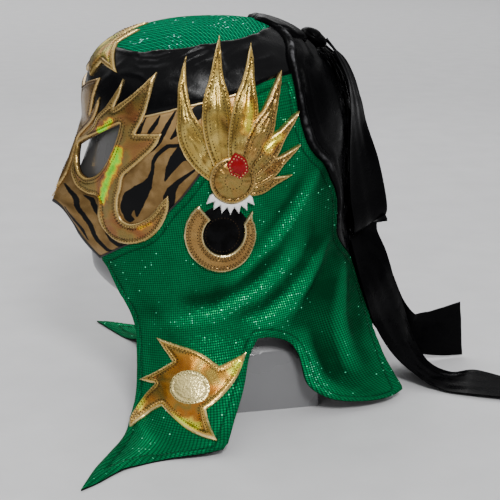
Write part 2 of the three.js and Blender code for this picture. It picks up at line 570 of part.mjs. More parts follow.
const shortened = (outline) => outline.map(([bearing, drop]) => [
  bearing, drop > FLOOR_DROP && Math.abs(bearing) < 90
    ? FLOOR_DROP + (drop - FLOOR_DROP) * RIGHT_FLAP_LENGTH : drop]);
const skirtHalf = [...CHEEK_SEAM.slice().reverse(), ...SIDE_SEAM.slice(1), ...FACING_SIDE.slice(1),
  ...SKIRT_REAR.slice(1), ...SKIRT_HEM.slice(1), ...FLAP_TIP.slice(1), ...SKIRT_FRONT.slice(1, -1)];
const facingHalf = [...FACING_FRONT, ...FACING_SIDE.slice(1), ...SLIT_EDGE.slice().reverse()];
const feathers = FEATHERS.map(featherOutline);
const hub = roundOutline(HUB);
const scroll = scrollOutline(SCROLL);
const teeth = teethOutline(TEETH);
const lining = roundOutline({ centre: SCROLL.centre, radius: (SCROLL.inner + SCROLL.outer) / 2 });

for (const [side, turn] of [['left', (outline) => outline], ['right', mirrored]]) {
  const skirt = side === 'left' ? skirtHalf : shortened(skirtHalf);
  const piece = (outlines, holes, size) => clothPiece(outlines.map(turn), holes.map(turn), size);
  addPiece(`${side}_skirt`, piece([skirt], [], PANEL), GREEN);
  addPiece(`${side}_back_facing`, piece([facingHalf], [], PANEL), SATIN);
  addPiece(`${side}_eye_surround`, piece([EYE_SURROUND], [EYE_HOLE], FACE_ORNAMENT), FOIL);
  addPiece(`${side}_plume`, piece([...feathers, hub], [scroll], SIDE_ORNAMENT), FOIL);
  addPiece(`${side}_scroll`, piece([scroll], [], SIDE_ORNAMENT), FOIL_LIGHT);
  addPiece(`${side}_teeth`, piece([teeth], [scroll, ...feathers], SIDE_ORNAMENT), WHITE);
  addPiece(`${side}_lining`, piece([lining], [], SIDE_LINING), SATIN);
  addPiece(`${side}_gem`, piece([onSide(GEM)], [], onTop(SIDE_ORNAMENT)), RED);
  addPiece(`${side}_flap_star`, piece([FLAP_STAR], [], FLAP_ORNAMENT), FOIL);
  addPiece(`${side}_star_disc`, piece([discOutline], [], onTop(FLAP_ORNAMENT)), FOIL_LIGHT);
}

addPiece('bridge_flames', clothPiece([both(BRIDGE_FLAMES)], [], BRIDGE_ORNAMENT), FOIL);
addPiece('forehead_star', clothPiece([both(FOREHEAD_STAR)], [], ORNAMENT), FOIL);
addPiece('lacing', clothPiece(laceOutlines(), [], FLAT_LACE), SATIN);
addPiece('back_tongue', clothPiece([TONGUE_OUTLINE], [], INNER_TONGUE), SATIN);

// The tie: a knot above the slit, two hanging loops and two long ends
const knot = new THREE.SphereGeometry(1, 12, 8);
knot.scale(9, 8, 6.5);
knot.rotateX(THREE.MathUtils.degToRad(-35));
knot.translate(0, KNOT[0], KNOT[1]);
addPiece('tie_knot', mergeVertices(bare(knot)), SATIN);
for (const [side, sign] of [['left', 1], ['right', -1]]) {
  const turned = (stops) => stops.map(([x, y, z, wx, wy, wz, w]) => [sign * x, y, z, sign * wx, wy, wz, w]);
  addPiece(`${side}_tie_loop`, ribbonStrip(turned(LOOP), 30), SATIN);
}
addPiece('left_tie_end', ribbonStrip(LEFT_END, 28), SATIN);
addPiece('right_tie_end', ribbonStrip(RIGHT_END, 28), SATIN);

export default mask;
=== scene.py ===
"""Looks for a lucha libre mask laced on a display head form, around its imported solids."""
import math

import bmesh
import bpy
import numpy as np
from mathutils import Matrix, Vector
from mathutils.geometry import delaunay_2d_cdt


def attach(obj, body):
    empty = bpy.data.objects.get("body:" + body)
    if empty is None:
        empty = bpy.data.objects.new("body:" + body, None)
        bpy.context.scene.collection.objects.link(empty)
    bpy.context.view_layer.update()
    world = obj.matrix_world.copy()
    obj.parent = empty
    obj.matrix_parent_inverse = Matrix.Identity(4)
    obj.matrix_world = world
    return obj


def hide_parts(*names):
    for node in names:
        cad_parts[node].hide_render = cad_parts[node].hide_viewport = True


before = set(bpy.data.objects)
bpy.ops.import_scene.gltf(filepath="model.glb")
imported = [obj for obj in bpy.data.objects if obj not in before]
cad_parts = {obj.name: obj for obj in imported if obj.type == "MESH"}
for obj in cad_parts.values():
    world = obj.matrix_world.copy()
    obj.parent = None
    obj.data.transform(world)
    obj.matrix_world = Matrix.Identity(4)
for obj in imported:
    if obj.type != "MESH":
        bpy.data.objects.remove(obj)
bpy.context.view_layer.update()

MM = 0.001
TINY = 1e-9
FAR = 1e9

# Camera: where it stands in degrees round and above the mask, and what it looks at, in mm
CAMERA_ROUND = 77
CAMERA_UP = 15
CAMERA_AWAY = 945
CAMERA_TARGET = (0, 30, 112)
CAMERA_LENS = 84.24
CAMERA_SENSOR = 36

# Driving dimensions of the mask's skin in mm, as in the solids, but with thinner cloth
CROWN_HEIGHT = 296.5
BROW_HEIGHT = 235
BROW_DROP = 105
BROW_FRONT = 98.5
DOME_BACK_HEIGHT = 205
DOME_BACK = 104
DOME_SIDE_HEIGHT = 215
HALF_WIDTH = 80
SECTION_POWER = 2.2
DOME_POWER = 2.35
BACK_DOME_POWER = 2.42
SIDE_DOME_POWER = 2.3
FLOOR_DROP = 340
FLOOR_BEND = 32
CLOTH = 1.5
CLOTH_LIFT = 2.1
LEFT_FLAP_BEARING = 38
RIGHT_FLAP_BEARING = 71
REAR_LOBE_BEARING = 150
RIGHT_FLAP_LENGTH = 0.755
MM_PER_DEGREE = 1.5

# The cloth flares over the shoulders below a height. Pairs are where a change starts and ends, in
# degrees of bearing, or in mm of height or width
FLARE_HEIGHT = 70
FLARE_LEAST = 8
FLARE_MORE = 36
FLARE_STARTS = (10, 30)
FLARE_GROWS = (36, 84)
REAR_LOBE_STARTS = (100, 122)
SWEEP_ENDS = (92, 150)
NOSE_STARTS = (144, 172)
LIP_ENDS = (12, 38)
WAVES_START = (36, 60)
RIGHT_WAVE_SHIFT = 37.0

# How far the skin reaches to the front, the back and the side at each height
FRONT_REACH = [[0, 90], [30, 87], [64, 85], [90, 89], [122, 95], [140, 96], [157, 97], [172, 97],
               [190, 97], [205, 97.5], [222, 98.5], [235, 98.5]]
BACK_REACH = [[0, 172], [30, 148], [45, 137], [60, 128], [77, 120], [100, 112], [133, 106],
              [168, 104], [205, 104]]
SIDE_REACH = [[0, 92], [30, 88], [64, 81], [90, 76], [122, 75], [170, 79], [205, 80], [215, 80]]
NOSE_REACH = [[110, 0], [117, 3], [122, 7], [128, 10], [135, 13], [141, 14.5], [148, 18], [154, 24],
              [159, 30], [167, 25.5], [173, 22.5], [180, 19], [186, 16], [192, 13], [198, 10.5],
              [204, 8], [210, 5.5], [216, 3], [222, 0]]
NOSE_WIDTH = [[160, 25], [167, 28], [180, 34], [192, 38], [222, 44]]
RIGHT_SWEEP = [[225, 0], [246, 9], [263, 14], [282, 17.5], [311, 19], [341, 18], [351, 16],
               [362, 13], [373, 9], [389, 4.5], [411, -2.3]]

# Seams and edges of the left half, as bearing in degrees and drop in mm
CROWN_SEAM = [[0, 58], [16, 60], [33, 63.5], [46, 61], [70, 56], [92, 51], [113, 46], [132, 39],
              [149.5, 34], [180, 30]]
BROW_SEAM = [[0, 118], [15, 117], [30, 114], [47, 109], [58, 105], [74, 101], [86, 98], [98, 94]]
SIDE_SEAM = [[98, 94], [109, 88], [118, 85], [126.5, 83]]
CHEEK_SEAM = [[98, 94], [93, 108], [86, 123], [78, 139], [70, 155], [63, 168], [56, 179],
              [46.5, 197], [32.5, 207.5], [22, 216], [14, 223]]
FACING_FRONT = [[149.5, 34], [140, 52], [130, 68], [126.5, 83]]
FACING_SIDE = [[126.5, 83], [125, 108], [129, 130], [134, 141], [141, 151], [146, 162.5],
               [150.5, 172.5], [153, 184], [152.5, 196], [153, 208], [158, 220], [167, 232],
               [171, 240]]
TOP_FOLD = [[150, 26], [157, 21.5], [167, 20], [178.5, 20], [179, 31], [177, 40], [170, 46], [167, 57],
            [158, 56], [150, 47], [147, 35]]
SLIT_EDGE = [[176.5, 32], [171.8, 60], [170, 90], [170, 120], [171.2, 160], [174, 200], [176, 240]]
MOUTH_EDGE = [[0, 181], [3, 185], [4.8, 191], [6.6, 199], [8.4, 205], [10.3, 212], [12.2, 218],
              [14, 223]]
TONGUE_OUTLINE = [[165, 62], [195, 62], [195, 234], [165, 234]]
SKIRT_REAR = [[171, 240], [169, 263], [163, 293], [158.5, 323], [154.5, 343]]
SKIRT_HEM = [[154.5, 343], [148, 346], [140, 343.5], [131.5, 336], [127, 328], [123, 315],
             [121.5, 294], [118.5, 283], [111, 277.5], [102, 276.5], [96, 287.5], [92, 302],
             [86.5, 324], [84.5, 347]]
FLAP_TIP = [[84.5, 347], [76, 356], [70, 368], [66.5, 389], [66, 402], [66.3, 418], [66, 434],
            [59, 405], [54.5, 384], [51, 369], [48, 354], [45, 341]]
SKIRT_FRONT = [[45, 341], [39.5, 311], [36, 282], [32, 263], [24, 246], [14, 223]]

# Ornament outlines that follow the skin, left half
EYE_HOLE = [[3.5, 137], [10, 132], [20, 125.5], [34.5, 115.5], [33, 124], [30, 134], [26, 144],
            [22, 151], [16.5, 158], [11.5, 161], [8, 157.5], [5, 148]]
EYE_SURROUND = [[3, 133], [9, 128], [17, 119], [20.2, 112], [28.2, 102], [32, 93], [33.5, 86],
                [33.5, 96], [31, 105], [40, 96], [49.5, 80], [48.5, 97], [46, 110], [42, 122],
                [54.5, 121], [51, 131], [44.5, 141], [38.5, 149], [34.5, 155], [33, 164],
                [31, 173], [30.8, 181], [32.5, 187], [37, 189.5], [42.5, 187], [48, 181],
                [53, 171.5], [56.6, 166], [56.6, 176], [53.5, 187], [48.5, 197], [42, 203],
                [34, 205.5], [26, 203.5], [20.5, 197], [18.8, 188], [18.6, 178], [16.5, 174],
                [11.5, 173], [7.5, 169], [5, 163], [3, 156], [2.6, 146]]
BRIDGE_FLAMES = [[0, 178], [0.6, 170], [1.6, 160], [1.6, 148], [1.8, 134], [7.2, 126],
                 [15.6, 117], [19.4, 110], [22, 100], [13.4, 113], [18, 97], [19.5, 87], [8, 92],
                 [0, 96]]
FOREHEAD_STAR = [[0, 30], [5, 50], [16, 40], [14, 56], [29, 82], [14.2, 75], [10, 87], [0, 80]]
FLAP_STAR = [[49, 276], [61, 279.5], [71, 283.5], [81, 292.5], [94.5, 285], [89, 299], [83, 309],
             [76, 319], [78, 328], [81.5, 339], [74, 335], [66, 328.5], [58, 321.5], [53.5, 330],
             [49, 349], [46.2, 340], [46, 329], [48, 318], [52, 308], [42, 309], [49, 302],
             [59, 291], [54, 284]]
STAR_DISC = {"middle": [68.5, 306.5], "wide": 8.8, "high": 11}

# The side ornament is laid out in mm around its own middle
PLUME_BEARING = 92
PLUME_DROP = 140
PLUME_SCALE = 1.45
FEATHERS = [
    {"root": [-16, -12], "bend": [-44, 18], "tip": [-42, 74], "width": 21},
    {"root": [-10, -8], "bend": [-22, 46], "tip": [-10, 93], "width": 23},
    {"root": [-2, -8], "bend": [4, 44], "tip": [21, 82], "width": 21},
    {"root": [2, -10], "bend": [20, 30], "tip": [38, 58], "width": 18},
    {"root": [4, -14], "bend": [28, 12], "tip": [46, 32], "width": 16},
    {"root": [4, -18], "bend": [30, -6], "tip": [47, 8], "width": 15},
    {"root": [0, -22], "bend": [24, -20], "tip": [42, -14], "width": 14},
]
HUB = {"centre": [-5, -14], "radius": 17}
SCROLL = {"centre": [-12, -56], "inner": 15, "outer": 29, "start": 128, "end": 385, "tip": 12}
TEETH = {"inner": 17.5, "valley": 20.5, "tip": 26, "start": 215, "end": 318, "count": 7}
GEM = [[-4, 6], [4, 1], [6, -8], [0, -14], [-8, -10], [-10, -2]]

# The lacing, in mm: how far it goes past the slit, and how high its two runs lie
LACE_WIDTH = 8
LACE_PITCH = 24
LACE_ROWS = 7
LACE_TOP = 75
LACE_PAST = 8
LACE_THICK = 0.8
LACE_LIFT = 1.5
LACE_BACK_LIFT = 0.7
EYELET = {"inset": 2, "radius": 2.6, "thread": 0.6, "lift": 1.9, "places": 16}
TONGUE_LIFT = -3.3
TONGUE = 0.8

# The tie: each stop is x, y, z in mm, the direction of its width, and its width there
RIBBON = 0.9
RIBBON_PLACES = 25
RIBBON_STEPS = 10
END_CUP = 2.4
KNOT = {"y": 81, "z": 280.5, "radii": [10.5, 11.5, 6.8], "lean": -35, "rows": 40, "columns": 64}
LOOP = [[12, 88, 279.5, 1, -0.2, 0.3, 12], [19, 97, 267, 1, -0.45, 0, 22],
        [22, 104, 252, 1, -0.52, 0, 26], [21, 109.5, 232, 0.9, -0.6, 0.04, 28],
        [17.4, 113.5, 212, 0.75, -0.66, -0.03, 31], [18.6, 118, 185, 0.5, -0.87, 0.02, 33],
        [17.6, 122.5, 158, 0.35, -0.92, -0.1, 35], [17, 125.5, 140, 0.3, -0.88, -0.3, 34],
        [12, 126, 131, 0.2, -0.86, -0.45, 32], [7.5, 126, 140, 0.1, -0.9, -0.35, 29],
        [7.5, 124, 158, 0.1, -1, -0.1, 25], [7.5, 121, 185, 0.12, -1, 0, 20],
        [8, 117.5, 212, 0.2, -1, 0, 13], [10, 112, 236, 0.8, -0.5, 0, 10],
        [11, 104.5, 254, 1, -0.3, 0, 12], [9, 93.5, 269, 1, -0.2, 0, 12]]
END_TOP = [[6, 87, 271.5, 1, 0, 0, 8], [11, 95.3, 261, 1, -0.25, 0, 14],
           [15, 102.3, 246, 1, -0.25, 0, 18], [15, 106.8, 226, 1, -0.25, 0.04, 18],
           [15, 107.8, 200, 1, -0.25, -0.04, 18], [14, 108.2, 184, 0.97, -0.25, 0, 17],
           [9, 109.6, 168, 0.85, -0.5, 0, 16], [4.5, 118, 152, 0.3, -0.95, 0, 20],
           [4, 123, 136, 0.15, -0.99, 0, 26], [5, 124.5, 121, 0.25, -0.97, 0, 27]]
LEFT_END = END_TOP + [
    [11, 129, 104, 0.45, -0.89, 0, 36],
    [19, 134, 82, 0.6, -0.8, 0, 44], [20, 144, 54, 0.6, -0.8, 0, 44],
    [23, 158, 26, 0.75, -0.65, 0, 45], [31, 172, 8, 0.9, -0.45, 0, 46],
    [42, 186, 2.6, 0.9, -0.42, 0.05, 47], [56, 204, 4.6, 0.9, -0.43, -0.06, 48],
    [73, 232, 2.4, 0.9, -0.43, 0.05, 48]]
RIGHT_END = [[-x, y, z, wx, -wy, wz, width] for x, y, z, wx, wy, wz, width in END_TOP] + [
    [-9, 128, 104, 0.5, 0.85, 0.1, 33],
    [-13, 137, 78, 0.5, 0.8, 0.3, 40], [-13, 153, 48, 0.5, 0.7, 0.5, 36],
    [-12, 169, 29.5, 0.2, 0.6, 0.8, 34], [-12.5, 187.6, 25, 0, 0.2, 1, 38],
    [-13, 204.5, 24.6, 0, 0, 1, 44], [-14, 222.5, 26, 0, -0.1, 1, 49]]

# Head and shoulders of the display form: height, front, back, half width
FORM_SECTIONS = [[0, -60, 78, 112], [15, -60, 77, 102], [28, -60, 75, 88], [38, -59, 73, 76],
                 [47, -58, 71, 66], [56, -58, 69, 60], [68, -60, 67, 57], [80, -69, 68, 58],
                 [88, -80, 71, 62], [96, -89, 77, 65.5], [106, -96, 83, 68.5], [120, -97.5, 90, 71],
                 [140, -95, 97, 73.5], [165, -95, 98.8, 76], [200, -94, 98.8, 77],
                 [222, -93, 97.8, 76.6], [238, -92.5, 94.5, 74.5], [252, -88, 87.6, 70.5],
                 [265, -80, 78, 64], [276, -70, 67, 55.5], [285, -59, 54, 45], [291, -42, 39, 32]]
FORM_TOP = 294
FORM_CUT = 66
FORM_ROWS = 150
FORM_COLUMNS = 128
FORM_BASE_MIDDLE = 32
FORM_NOSE = 0.85
FORM_NOSE_ROOM = 4.8
FORM_NOSE_NARROWER = 3
FORM_NOSE_STARTS = (148, 166)
FORM_CUT_HEIGHT = 60
FORM_MIDDLE = [[0, 32], [47, 38], [68, 20], [90, 0], [300, 0]]
FORM_FRONT_POWER = [[60, 2.2], [80, 1.9], [95, 1.55], [125, 1.6], [150, 1.9], [175, 2.2]]

# Black tiger stripes on the left half of the face: bearing, drop and width in mm
STRIPES = [
    [[46.8, 110, 0.6], [45, 116, 2.2], [43.2, 121.5, 3.2]],
    [[53.4, 108.5, 1.2], [51.5, 114, 3], [49, 119.5, 3], [47, 123.5, 0.8]],
    [[60.7, 105, 1.4], [57, 115, 3.2], [55, 121, 3.4], [52.9, 127, 3.4], [50, 132, 3.2],
     [44.3, 138, 3], [38.6, 146, 2.6], [34.6, 155, 0.6]],
    [[76, 101, 4], [71, 107, 9], [66, 113, 8], [62, 119, 5], [58.4, 125, 1.2]],
    [[76, 121, 2], [70, 125, 2.4], [65.7, 128, 2.6], [61.4, 129.5, 2.6], [57, 130, 3],
     [54, 133.5, 3], [51.4, 137.5, 3], [49.8, 142, 2.6], [49.4, 148, 2.6], [48.2, 154, 4],
     [46.2, 160, 8], [42.5, 166, 13], [39, 172, 17], [37, 178, 16], [36.4, 184, 9]],
    [[73, 124.5, 3], [68, 130, 7], [63.5, 135, 10], [60.6, 140, 9], [57.6, 147, 6], [55, 156, 1]],
    [[70, 136.5, 1], [66, 138, 5], [62, 138, 6]],
    [[71, 146, 1.4], [64.3, 153, 3], [60.7, 157.5, 4], [58, 163, 7], [57, 168, 9], [57, 174, 7]],
    [[2, 168, 1.4], [5, 173, 2.4], [9.3, 178, 2.6], [13.6, 188, 2.8], [15.4, 195, 3],
     [16, 203, 3], [17, 208, 3.4], [20.7, 214, 3], [23.6, 214.5, 2]],
    [[10, 174, 0.6], [14.3, 176.5, 3], [17, 181, 3.4], [19, 189, 1]],
    [[20.7, 200, 0.6], [23.6, 205, 3.4], [28.6, 208, 3.6], [33.6, 206, 0.6]],
    [[6, 184, 1.2], [9, 192, 2.6], [11.5, 201, 2.6], [12.6, 209, 1]],
    [[88, 110, 2], [82, 117, 6], [76, 121, 5]],
]
FLAME_IN_STRIPE = [[[40.5, 187, 0.6], [38.8, 182.5, 3], [39.4, 178, 0.4]],
                   [[63.6, 158.5, 0.4], [62, 162, 1.6], [61, 165.5, 0.4]]]

# Folds of the stretched cloth: line on the skin, height and half width in mm
FOLDS = [
    ([[46, 266], [66, 262], [80, 258], [92, 250], [104, 243], [116, 229], [128, 208]], 2.6, 5.5),
    ([[56, 246], [74, 247], [90, 239], [104, 228], [116, 212], [124, 196]], -1.9, 6),
    ([[84, 240], [96, 226], [108, 210], [117, 194], [124, 178]], 1.7, 5),
    ([[100, 212], [112, 192], [122, 172], [130, 152]], -1.2, 4.5),
    ([[110, 214], [120, 194], [129, 172], [138, 150]], 1.8, 4),
    ([[90, 258], [106, 254], [118, 243], [130, 225], [142, 200]], -1.8, 5),
    ([[92, 268], [108, 265], [120, 256], [131, 240], [142, 216], [150, 200]], 2.6, 6),
    ([[116, 276], [130, 262], [142, 236], [150, 215]], -2.2, 7),
    ([[121, 278], [124, 296], [128, 318], [132, 334]], 2.4, 6.5),
    ([[134, 262], [135, 286], [137, 308], [142, 330]], -3.4, 8),
    ([[141, 318], [142, 296], [145, 272], [151, 250], [158, 228]], 2.8, 7),
    ([[150, 318], [150, 296], [153, 272], [158, 250]], -1.2, 5),
    ([[38, 250], [50, 262], [58, 276]], -1.0, 6),
    ([[40, 284], [45, 300], [47, 316]], 1.0, 4),
    ([[80, 340], [84, 318], [92, 296]], 1.2, 4.5),
    ([[50, 336], [60, 350], [64, 376], [65, 404]], 1.8, 6),
    ([[70, 350], [68, 372], [67, 396]], -1.0, 4),
    ([[30, 61], [38, 66.5], [47, 66], [54, 61.5]], 1.0, 1.5),
    ([[31, 66], [38, 71], [47, 70.5], [55, 65]], 0.9, 1.5),
    ([[33, 72], [40, 76], [49, 75], [56, 70]], 0.7, 1.6),
    ([[36, 62], [44, 63], [53, 61]], 0.5, 1.1),
    ([[58, 66], [64, 61], [72, 56]], 0.9, 1.5),
    ([[60, 72], [68, 65], [78, 61]], 0.8, 1.5),
    ([[66, 74], [74, 68], [84, 65], [92, 60]], 0.6, 1.6),
    ([[78, 58], [84, 64], [88, 74]], 0.6, 1.6),
    ([[26, 84], [34, 80], [42, 82], [50, 90]], 0.7, 2.6),
    ([[52, 80], [62, 84], [72, 92]], -0.6, 3),
    ([[90, 68], [102, 60], [116, 54]], 0.8, 2.6),
    ([[96, 78], [108, 70], [122, 66]], 0.7, 2.4),
    ([[100, 86], [112, 79], [124, 76]], -0.6, 2.4),
    ([[18, 92], [24, 84], [30, 70]], 0.6, 2.2),
]

# Painted rainbow reflections on the foil, which also glow: a line on the skin for each, and how far it has
# faded from green towards orange
PAINTED_RAINBOW_GLOWS = [
    ([[33, 136], [31, 144.5], [27, 155], [23, 167], [21, 174]], 0.0),
    ([[22, 123], [25, 121], [29.5, 114.5]], 1.2), ([[20, 181], [21, 186]], 4.2),
    ([[42, 191], [48, 187.5]], 3.4), ([[58, 326], [65, 329], [73, 331]], 0.0),
    ([[87, 296], [90, 292]], 0.0), ([[46, 318], [48, 328]], 0.0),
    ([[96, 118], [98, 104]], 0.0), ([[106, 132], [112, 124]], 0.0),
]

# Sizes of stitches and prints, in mm on the cloth. A stitch is long, wide and high
CLOTH_STITCH = {"pitch": 2.6, "size": (1.7, 0.45, 0.28)}
FOIL_STITCH = {"pitch": 2.35, "size": (1.35, 1.0, 0.3)}
FOIL_ROLL = 0.8
FOIL_RIM = 2.2
FOIL_GROOVE = 3.2
HOLE_EDGE_DULLER = 1.3
SKIRT_HEM_GROOVE = 5.6
DOT_PITCH = 1.7
ROW_PITCH = 2.3
ROW_TURN = 14
NO_EDGE = 9.0
CAP_MIDDLE = 50.0
CAP_MAP = 1.05
CAP_TOP_DROP = 1.2
PIPING_BEARING = 44
CHEEK_PIPING_DROP = 100

# Feathers from the lowest layer to the topmost, and the rise from one layer to the next
FEATHER_ORDER = [0, 6, 1, 5, 2, 4, 3]
FEATHER_RISE = 0.75
FIRST_DARK_FEATHER = 3

# The studio, in metres and watts: square soft lights with place, size, power and the point they face
FLOOR_RADIUS = 14.0
FLOOR_CORNERS = 64
WORLD_COLOUR = (0.93, 0.94, 0.96, 1)
WORLD_STRENGTH = 0.2
MASK_MIDDLE = (0, 0.02, 0.15)
LIGHTS = [
    ("sky_light", (0.0, 0.0, 4.0), 14.0, 400, MASK_MIDDLE),
    ("wall_light", (-7.0, -1.4, 5.0), 8.0, 380, (-7.0, -1.4, 0.0)),
    ("key_light", (1.45, 0.0, 1.25), 0.35, 24, MASK_MIDDLE),
    ("far_light", (-1.3, 0.3, 0.9), 0.8, 2, MASK_MIDDLE),
]

MATERIALS = {}


def eased(table, spread):
    """A table of heights as a smooth row of values, one for each half millimetre."""
    raw = np.interp(HEIGHTS, [a for a, b in table], [b for a, b in table])
    reach = int(6 * spread)
    kernel = np.exp(-0.5 * (np.arange(-reach, reach + 1) * 0.5 / spread) ** 2)
    return np.convolve(np.pad(raw, reach, mode="edge"), kernel / kernel.sum(), "valid")


HEIGHTS = np.arange(-10, 301, 0.5)
FRONT_ROW = eased(FRONT_REACH, 6)
BACK_ROW = eased(BACK_REACH, 7)
SIDE_ROW = eased(SIDE_REACH, 7)
NOSE_ROW = eased(NOSE_REACH, 2)
NOSE_WIDTH_ROW = eased(NOSE_WIDTH, 4)


def look_up(table, x):
    return np.interp(x, [a for a, b in table], [b for a, b in table])


def smoothstep(x, a, b):
    t = np.clip((x - a) / (b - a), 0, 1)
    return t * t * (3 - 2 * t)


def to_mm(outline):
    """Bearings in degrees and drops in mm, as mm on the unrolled skin."""
    return np.array(outline, float) * [MM_PER_DEGREE, 1]


def on_left(uv):
    """Places on either half, as if all were on the left."""
    return np.stack([np.abs(uv[:, 0]), uv[:, 1]], -1)


def bell(off, width):
    return np.exp(-(off / width) ** 2)


def rounded(share):
    """A quarter circle that rises from nought to one."""
    return np.sqrt(1 - (1 - np.clip(share, 0, 1)) ** 2)


def dome(height, start, reach, power):
    share = np.clip((height - start) / (CROWN_HEIGHT - start), 0, 1)
    return reach * np.maximum(1 - share ** power, 0) ** (1 / power)


def height_at(drop):
    turn = np.clip(drop / BROW_DROP, 0, 1) * np.pi / 2
    top = BROW_HEIGHT + (CROWN_HEIGHT - BROW_HEIGHT) * np.maximum(np.cos(turn), 0) ** (2 / DOME_POWER)
    return np.where(drop >= BROW_DROP, BROW_HEIGHT - (drop - BROW_DROP), top)


def skin(bearing, drop):
    """A point of the skin in mm for each bearing in degrees and drop in mm."""
    bearing, drop = np.broadcast_arrays(np.asarray(bearing, float), np.asarray(drop, float))
    around = (bearing + 180) % 360 - 180
    side = np.where(around >= 0, 1.0, -1.0)
    off = np.abs(around)
    sweep = np.where(side < 0, look_up(RIGHT_SWEEP, drop) * (1 - smoothstep(off, *SWEEP_ENDS)), 0)
    turn = np.radians(around - sweep)
    sine, cosine = np.sin(turn), np.cos(turn)
    height = height_at(np.minimum(drop, FLOOR_DROP))
    front = np.where(height > BROW_HEIGHT, dome(height, BROW_HEIGHT, BROW_FRONT, DOME_POWER),
                     np.interp(height, HEIGHTS, FRONT_ROW))
    back = np.where(height > DOME_BACK_HEIGHT,
                    dome(height, DOME_BACK_HEIGHT, DOME_BACK, BACK_DOME_POWER),
                    np.interp(height, HEIGHTS, BACK_ROW))
    wide = np.where(height > DOME_SIDE_HEIGHT,
                    dome(height, DOME_SIDE_HEIGHT, HALF_WIDTH, SIDE_DOME_POWER),
                    np.interp(height, HEIGHTS, SIDE_ROW))
    reach = np.where(cosine > 0, front, back)
    across = (np.abs(sine) / np.maximum(wide, 0.001)) ** SECTION_POWER
    along = (np.abs(cosine) / np.maximum(reach, 0.001)) ** SECTION_POWER
    low = np.maximum(1 - height / FLARE_HEIGHT, 0) ** 1.5
    rear = smoothstep(off, *REAR_LOBE_STARTS)
    flare = (low * (FLARE_LEAST + FLARE_MORE * smoothstep(off, *FLARE_GROWS)) * (1 - rear)
             * smoothstep(off, *FLARE_STARTS))
    radius = (across + along) ** (-1 / SECTION_POWER) + flare
    x = radius * sine
    ridge = np.maximum(1 - np.abs(x) / np.interp(height, HEIGHTS, NOSE_WIDTH_ROW), 0) ** 1.5
    lip = 1 - smoothstep(np.abs(x), *LIP_ENDS)
    share = lip + (ridge - lip) * smoothstep(height, *NOSE_STARTS)
    nose = np.where(cosine > 0, np.interp(height, HEIGHTS, NOSE_ROW) * share, 0)
    past = drop - FLOOR_DROP
    bent = np.where(past < FLOOR_BEND, (past + FLOOR_BEND) ** 2 / (4 * FLOOR_BEND), past)
    risen = np.where(past < FLOOR_BEND, (FLOOR_BEND - past) ** 2 / (4 * FLOOR_BEND), 0)
    run = np.where(past > -FLOOR_BEND, bent, 0)
    lift = np.where(past > -FLOOR_BEND, risen, height)
    flap = np.where(side > 0, LEFT_FLAP_BEARING, RIGHT_FLAP_BEARING)
    heading = np.radians(flap + (REAR_LOBE_BEARING - flap) * rear)
    return np.stack([x + side * np.sin(heading) * run,
                     -radius * cosine - nose - np.cos(heading) * run,
                     lift + CLOTH_LIFT], -1)


def outward(bearing, drop):
    ahead = skin(bearing + 0.8, drop) - skin(bearing - 0.8, drop)
    down = skin(bearing, drop + 1.2) - skin(bearing, np.maximum(drop - 1.2, 0.01))
    normal = np.cross(down, ahead)
    return normal / np.maximum(np.linalg.norm(normal, axis=-1, keepdims=True), TINY)


def near_line(uv, line):
    """Distance from each point to an open line, and the nearest place along it in mm."""
    best = np.full(len(uv), FAR)
    place = np.zeros(len(uv))
    run = 0.0
    for a, b in zip(line[:-1], line[1:]):
        side = b[:2] - a[:2]
        length = max(float(np.hypot(*side)), TINY)
        share = np.clip(((uv - a[:2]) @ side) / length ** 2, 0, 1)
        off = np.hypot(*(uv - a[:2] - share[:, None] * side).T)
        nearer = off < best
        best = np.where(nearer, off, best)
        place = np.where(nearer, run + share * length, place)
        run += length
    return best, place, run


def stroke_field(uv, strokes):
    """Signed distance to strokes of changing width, below zero inside them."""
    best = np.full(len(uv), 50.0)
    for stroke in strokes:
        line = np.array(stroke, float) * [MM_PER_DEGREE, 1, 1]
        for a, b in zip(line[:-1], line[1:]):
            side = b[:2] - a[:2]
            share = np.clip(((uv - a[:2]) @ side) / (side @ side), 0, 1)
            off = np.hypot(*(uv - a[:2] - share[:, None] * side).T)
            best = np.minimum(best, off - (a[2] + share * (b[2] - a[2])) / 2)
    return best


def relief(bearing, drop):
    """Height of the folds above the smooth skin, the same for every layer that lies there:
    the drawn folds, and small soft waves below the cap that differ on the two halves."""
    around = (bearing + 180) % 360 - 180
    uv = np.stack([np.abs(around) * MM_PER_DEGREE, drop], -1)
    rise = np.zeros(len(uv))
    for line, height, width in FOLDS:
        points = to_mm(line)
        off, place, run = near_line(uv, points)
        fade = np.sin(np.pi * np.clip(place / run, 0.02, 0.98)) ** 0.6
        rise += height * fade * bell(off, width)
    u, v = uv[:, 0] + np.where(around < 0, RIGHT_WAVE_SHIFT, 0.0), uv[:, 1]
    soft = (0.28 * np.sin(u / 9.1 + 1.7 * np.sin(v / 23)) * np.sin(v / 13.3 + u / 41)
            + 0.16 * np.sin(u / 4.7 - v / 7.9 + 1.3) * np.sin(v / 5.3 + u / 17))
    return rise + soft * smoothstep(drop, *WAVES_START)


def raised(bearing, drop, lift):
    """Points at a height over the folded cloth."""
    return skin(bearing, drop) + outward(bearing, drop) * (lift + relief(bearing, drop))[:, None]


def over(uv, lift):
    """The same, from places in mm on the unrolled skin."""
    return raised(uv[:, 0] / MM_PER_DEGREE, uv[:, 1], lift)


def fold_height(uv):
    return relief(uv[:, 0] / MM_PER_DEGREE, uv[:, 1])


